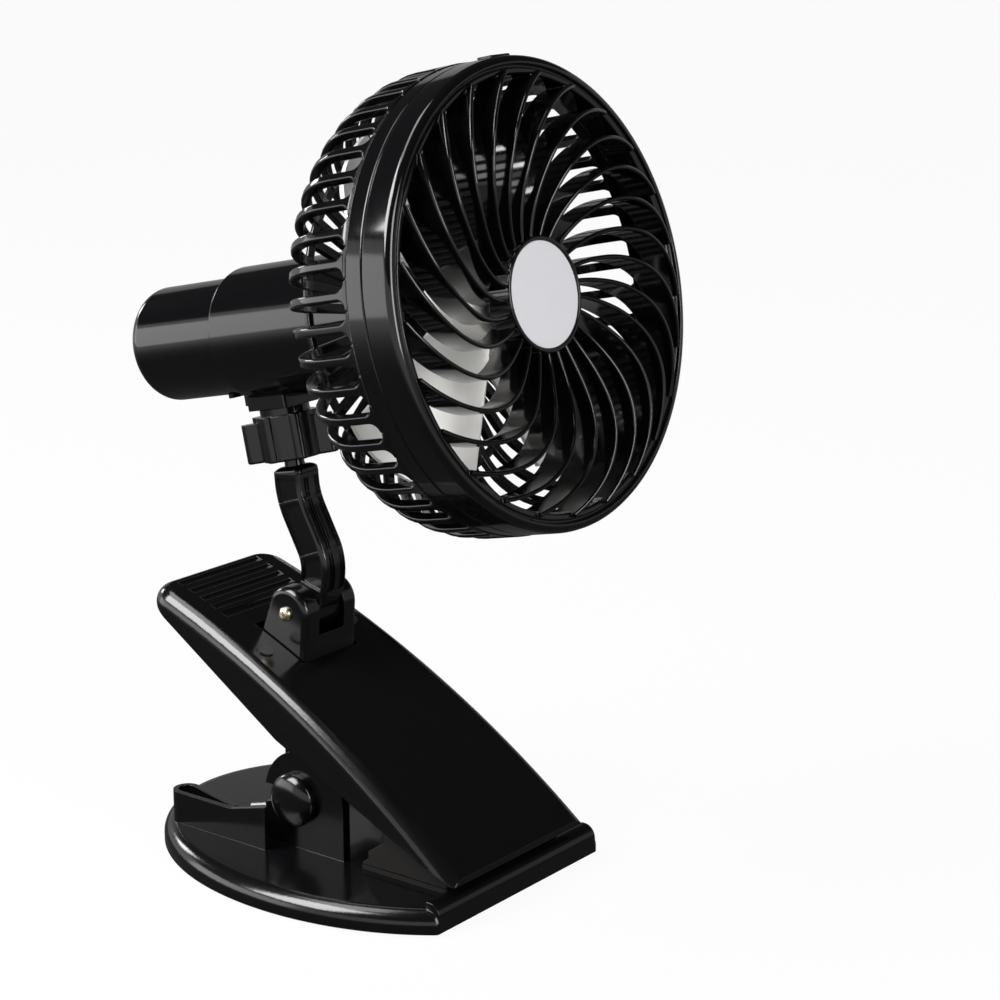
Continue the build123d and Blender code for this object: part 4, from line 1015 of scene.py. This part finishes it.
buttons = bmesh.new()
for side in (-1, 1):
    spin(buttons, button_outline, beside_hinge(side), button_sides)
piece("hinge_buttons", buttons, "black_gloss", "base", "hinge_caps")

# %% [markdown]
# The spring lies round the pin. One leg rests on the base and the other presses up under the handle, so
# the coil winds tighter as the clip opens. Its line never turns back: a straight leg, the coil, and a
# straight leg again. Each leg leaves the coil along its tangent, and that fixes the angle.

# %% Line of the spring
coil_radius = 6.5
coil_pitch = 2.5
coil_turns = 6
coil_climb = coil_pitch / (2 * pi)
pin_spot = Vector((hinge_spot.x, hinge_spot.z)) / mm
foot_leg = Vector((-46.0, 8.45)) - pin_spot
handle_leg = Vector((-53.0, 69.3)) - pin_spot


def leaves_coil(leg, side):
    """Angle on the coil where a straight leg leaves it."""
    return atan2(leg.y, leg.x) + side * acos(coil_radius / leg.length)


coil_start = leaves_coil(foot_leg, 1) - 2 * pi
coil_end = leaves_coil(handle_leg, -1) + 2 * pi * coil_turns
coil_middle = (coil_start + coil_end) / 2


def coil_point(turn):
    """Point of the wire's centre line, from the pin."""
    return Vector((coil_radius * cos(turn), coil_climb * (turn - coil_middle), coil_radius * sin(turn)))


def coil_way(turn):
    """Direction of the wire there."""
    return Vector((-coil_radius * sin(turn), coil_climb, coil_radius * cos(turn))).normalized()


print("spring turns:", round((coil_end - coil_start) / (2 * pi), 2))

# %% [markdown]
# The wire is a circle swept along that line. The coil climbs steadily across the clip, and the piece rides
# on no body.

# %% Spring
wire_radius = 0.9
wire_sides = 12
coil_steps = 40


def wire_ring(middle, turn):
    """Points round the wire, square to its line."""
    out = Vector((cos(turn), 0.0, sin(turn)))
    across = coil_way(turn).cross(out)
    angles = [2 * pi * side / wire_sides for side in range(wire_sides)]
    rims = [(out * cos(angle) + across * sin(angle)) * wire_radius for angle in angles]
    return [hinge_spot + (middle + rim) * mm for rim in rims]


foot_reach = sqrt(foot_leg.length_squared - coil_radius ** 2)
handle_reach = sqrt(handle_leg.length_squared - coil_radius ** 2)
coil_count = round(coil_steps * (coil_end - coil_start) / (2 * pi))
wire_rings = [wire_ring(coil_point(coil_start) - coil_way(coil_start) * foot_reach, coil_start)]
for step in range(coil_count + 1):
    turn = coil_start + (coil_end - coil_start) * step / coil_count
    wire_rings.append(wire_ring(coil_point(turn), turn))
wire_rings.append(wire_ring(coil_point(coil_end) + coil_way(coil_end) * handle_reach, coil_end))
spring = bmesh.new()
skin(spring, wire_rings)
coil_spring = piece("spring", spring, "steel", None, "clip_spring")
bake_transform(coil_spring)

# %% [markdown]
# The arm's square top runs out into the neck of the ball in a round shoulder. It is a stack of rounded
# squares, each a little smaller than the one below. The squares stay under the cone that the nut sweeps
# when the head tilts.

# %% Arm shoulder
ball_spot = Vector(joints["head_swivel"]["pos_m"])
shoulder_corner = 0.42
shoulder_levels = (
    (11.4, 5.35), (10.5, 5.35), (10.1, 5.2), (9.75, 4.9), (9.45, 4.4), (9.2, 3.8), (9.05, 3.1),
)


def shoulder_ring(drop, half):
    """Rounded square that far under the ball's middle, with that half width."""
    corner = half * shoulder_corner
    square = [(half, half, corner), (-half, half, corner), (-half, -half, corner), (half, -half, corner)]
    return [ball_spot + (axis_way * x + far_way * y - up_way * drop) * mm for x, y in rounded(square)]


shoulder = bmesh.new()
skin(shoulder, [shoulder_ring(drop, half) for drop, half in shoulder_levels])
piece("arm_shoulder", shoulder, "black_satin", "arm")

# %% [markdown]
# One screw shows: the pan head on the arm's pivot. Head and shank are one outline, spun round the pivot.
# Its length and the size of its head come from the box of the solid that it stands for.

# %% Pivot screw
pivot_spot = Vector(joints["arm_fold"]["pos_m"])
screw_low, screw_high = (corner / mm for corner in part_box("arm_pivot_screw"))
cheek_face = -12.0
pan_radius = (screw_high.x - screw_low.x) / 2
pan_top = -screw_low.y + cheek_face
pan_rim = 0.35
pan_soft = 0.7
pan_steps = 8
shank_radius = 1.5
shank_end = cheek_face - screw_high.y
screw_sides = 64
screw_sharp = 50.0


def screw_point(radius, angle, along):
    """Point round the pivot, with along counted out of the near cheek."""
    turned = Vector((cos(angle), 0.0, sin(angle))) * radius + Vector((0.0, cheek_face - along, 0.0))
    return pivot_spot + turned * mm


screw_outline = [(0.0, shank_end), (shank_radius, shank_end), (shank_radius, 0.0), (pan_radius, 0.0)]
for step in range(pan_steps):
    turn = pi / 2 * step / pan_steps
    height = pan_rim + (pan_top - pan_rim) * sin(turn)
    screw_outline.append((pan_radius * cos(turn) ** pan_soft, height))
screw_outline.append((0.0, pan_top))
screw = bmesh.new()
spin(screw, screw_outline, screw_point, screw_sides)
pivot_screw = piece("pivot_screw", screw, "screw_zinc", "jaw", "arm_pivot_screw", sharp=screw_sharp)

# %% [markdown]
# The screw's cross recess is cut by two crossed wedges with a boolean. It is applied at once, so that the
# piece is plain mesh and the cutter is gone.

# %% Cross recess
cross_reach = 1.25
cross_half = 0.27
cross_depth = 1.0
cross_clear = 0.5
cross_taper = 0.55
cross_levels = ((pan_top + cross_clear, 1.0), (pan_top - cross_depth, cross_taper))
cutter_builder = bmesh.new()
for across, width in ((cross_reach, cross_half), (cross_half, cross_reach)):
    skin(cutter_builder, [
        [
            pivot_spot + Vector((i * across * scale, cheek_face - level, j * width * scale)) * mm
            for i, j in four_corners
        ]
        for level, scale in cross_levels
    ])
bmesh.ops.recalc_face_normals(cutter_builder, faces=cutter_builder.faces)
cutter_mesh = bpy.data.meshes.new("cross_cutter")
cutter_builder.to_mesh(cutter_mesh)
cutter_builder.free()
cutter = bpy.data.objects.new("cross_cutter", cutter_mesh)
bpy.context.scene.collection.objects.link(cutter)
cut = pivot_screw.modifiers.new("cross", "BOOLEAN")
cut.object = cutter
cut.operation = "DIFFERENCE"
cut.solver = "EXACT"
cut.use_self = True
bpy.context.view_layer.update()
carved = bpy.data.meshes.new_from_object(pivot_screw.evaluated_get(bpy.context.evaluated_depsgraph_get()))
pivot_screw.modifiers.remove(cut)
pivot_screw.data = carved
bpy.data.objects.remove(cutter)
print("pivot screw faces after the cut:", len(carved.polygons))

# %% [markdown]

# %% End
print("all pieces made")
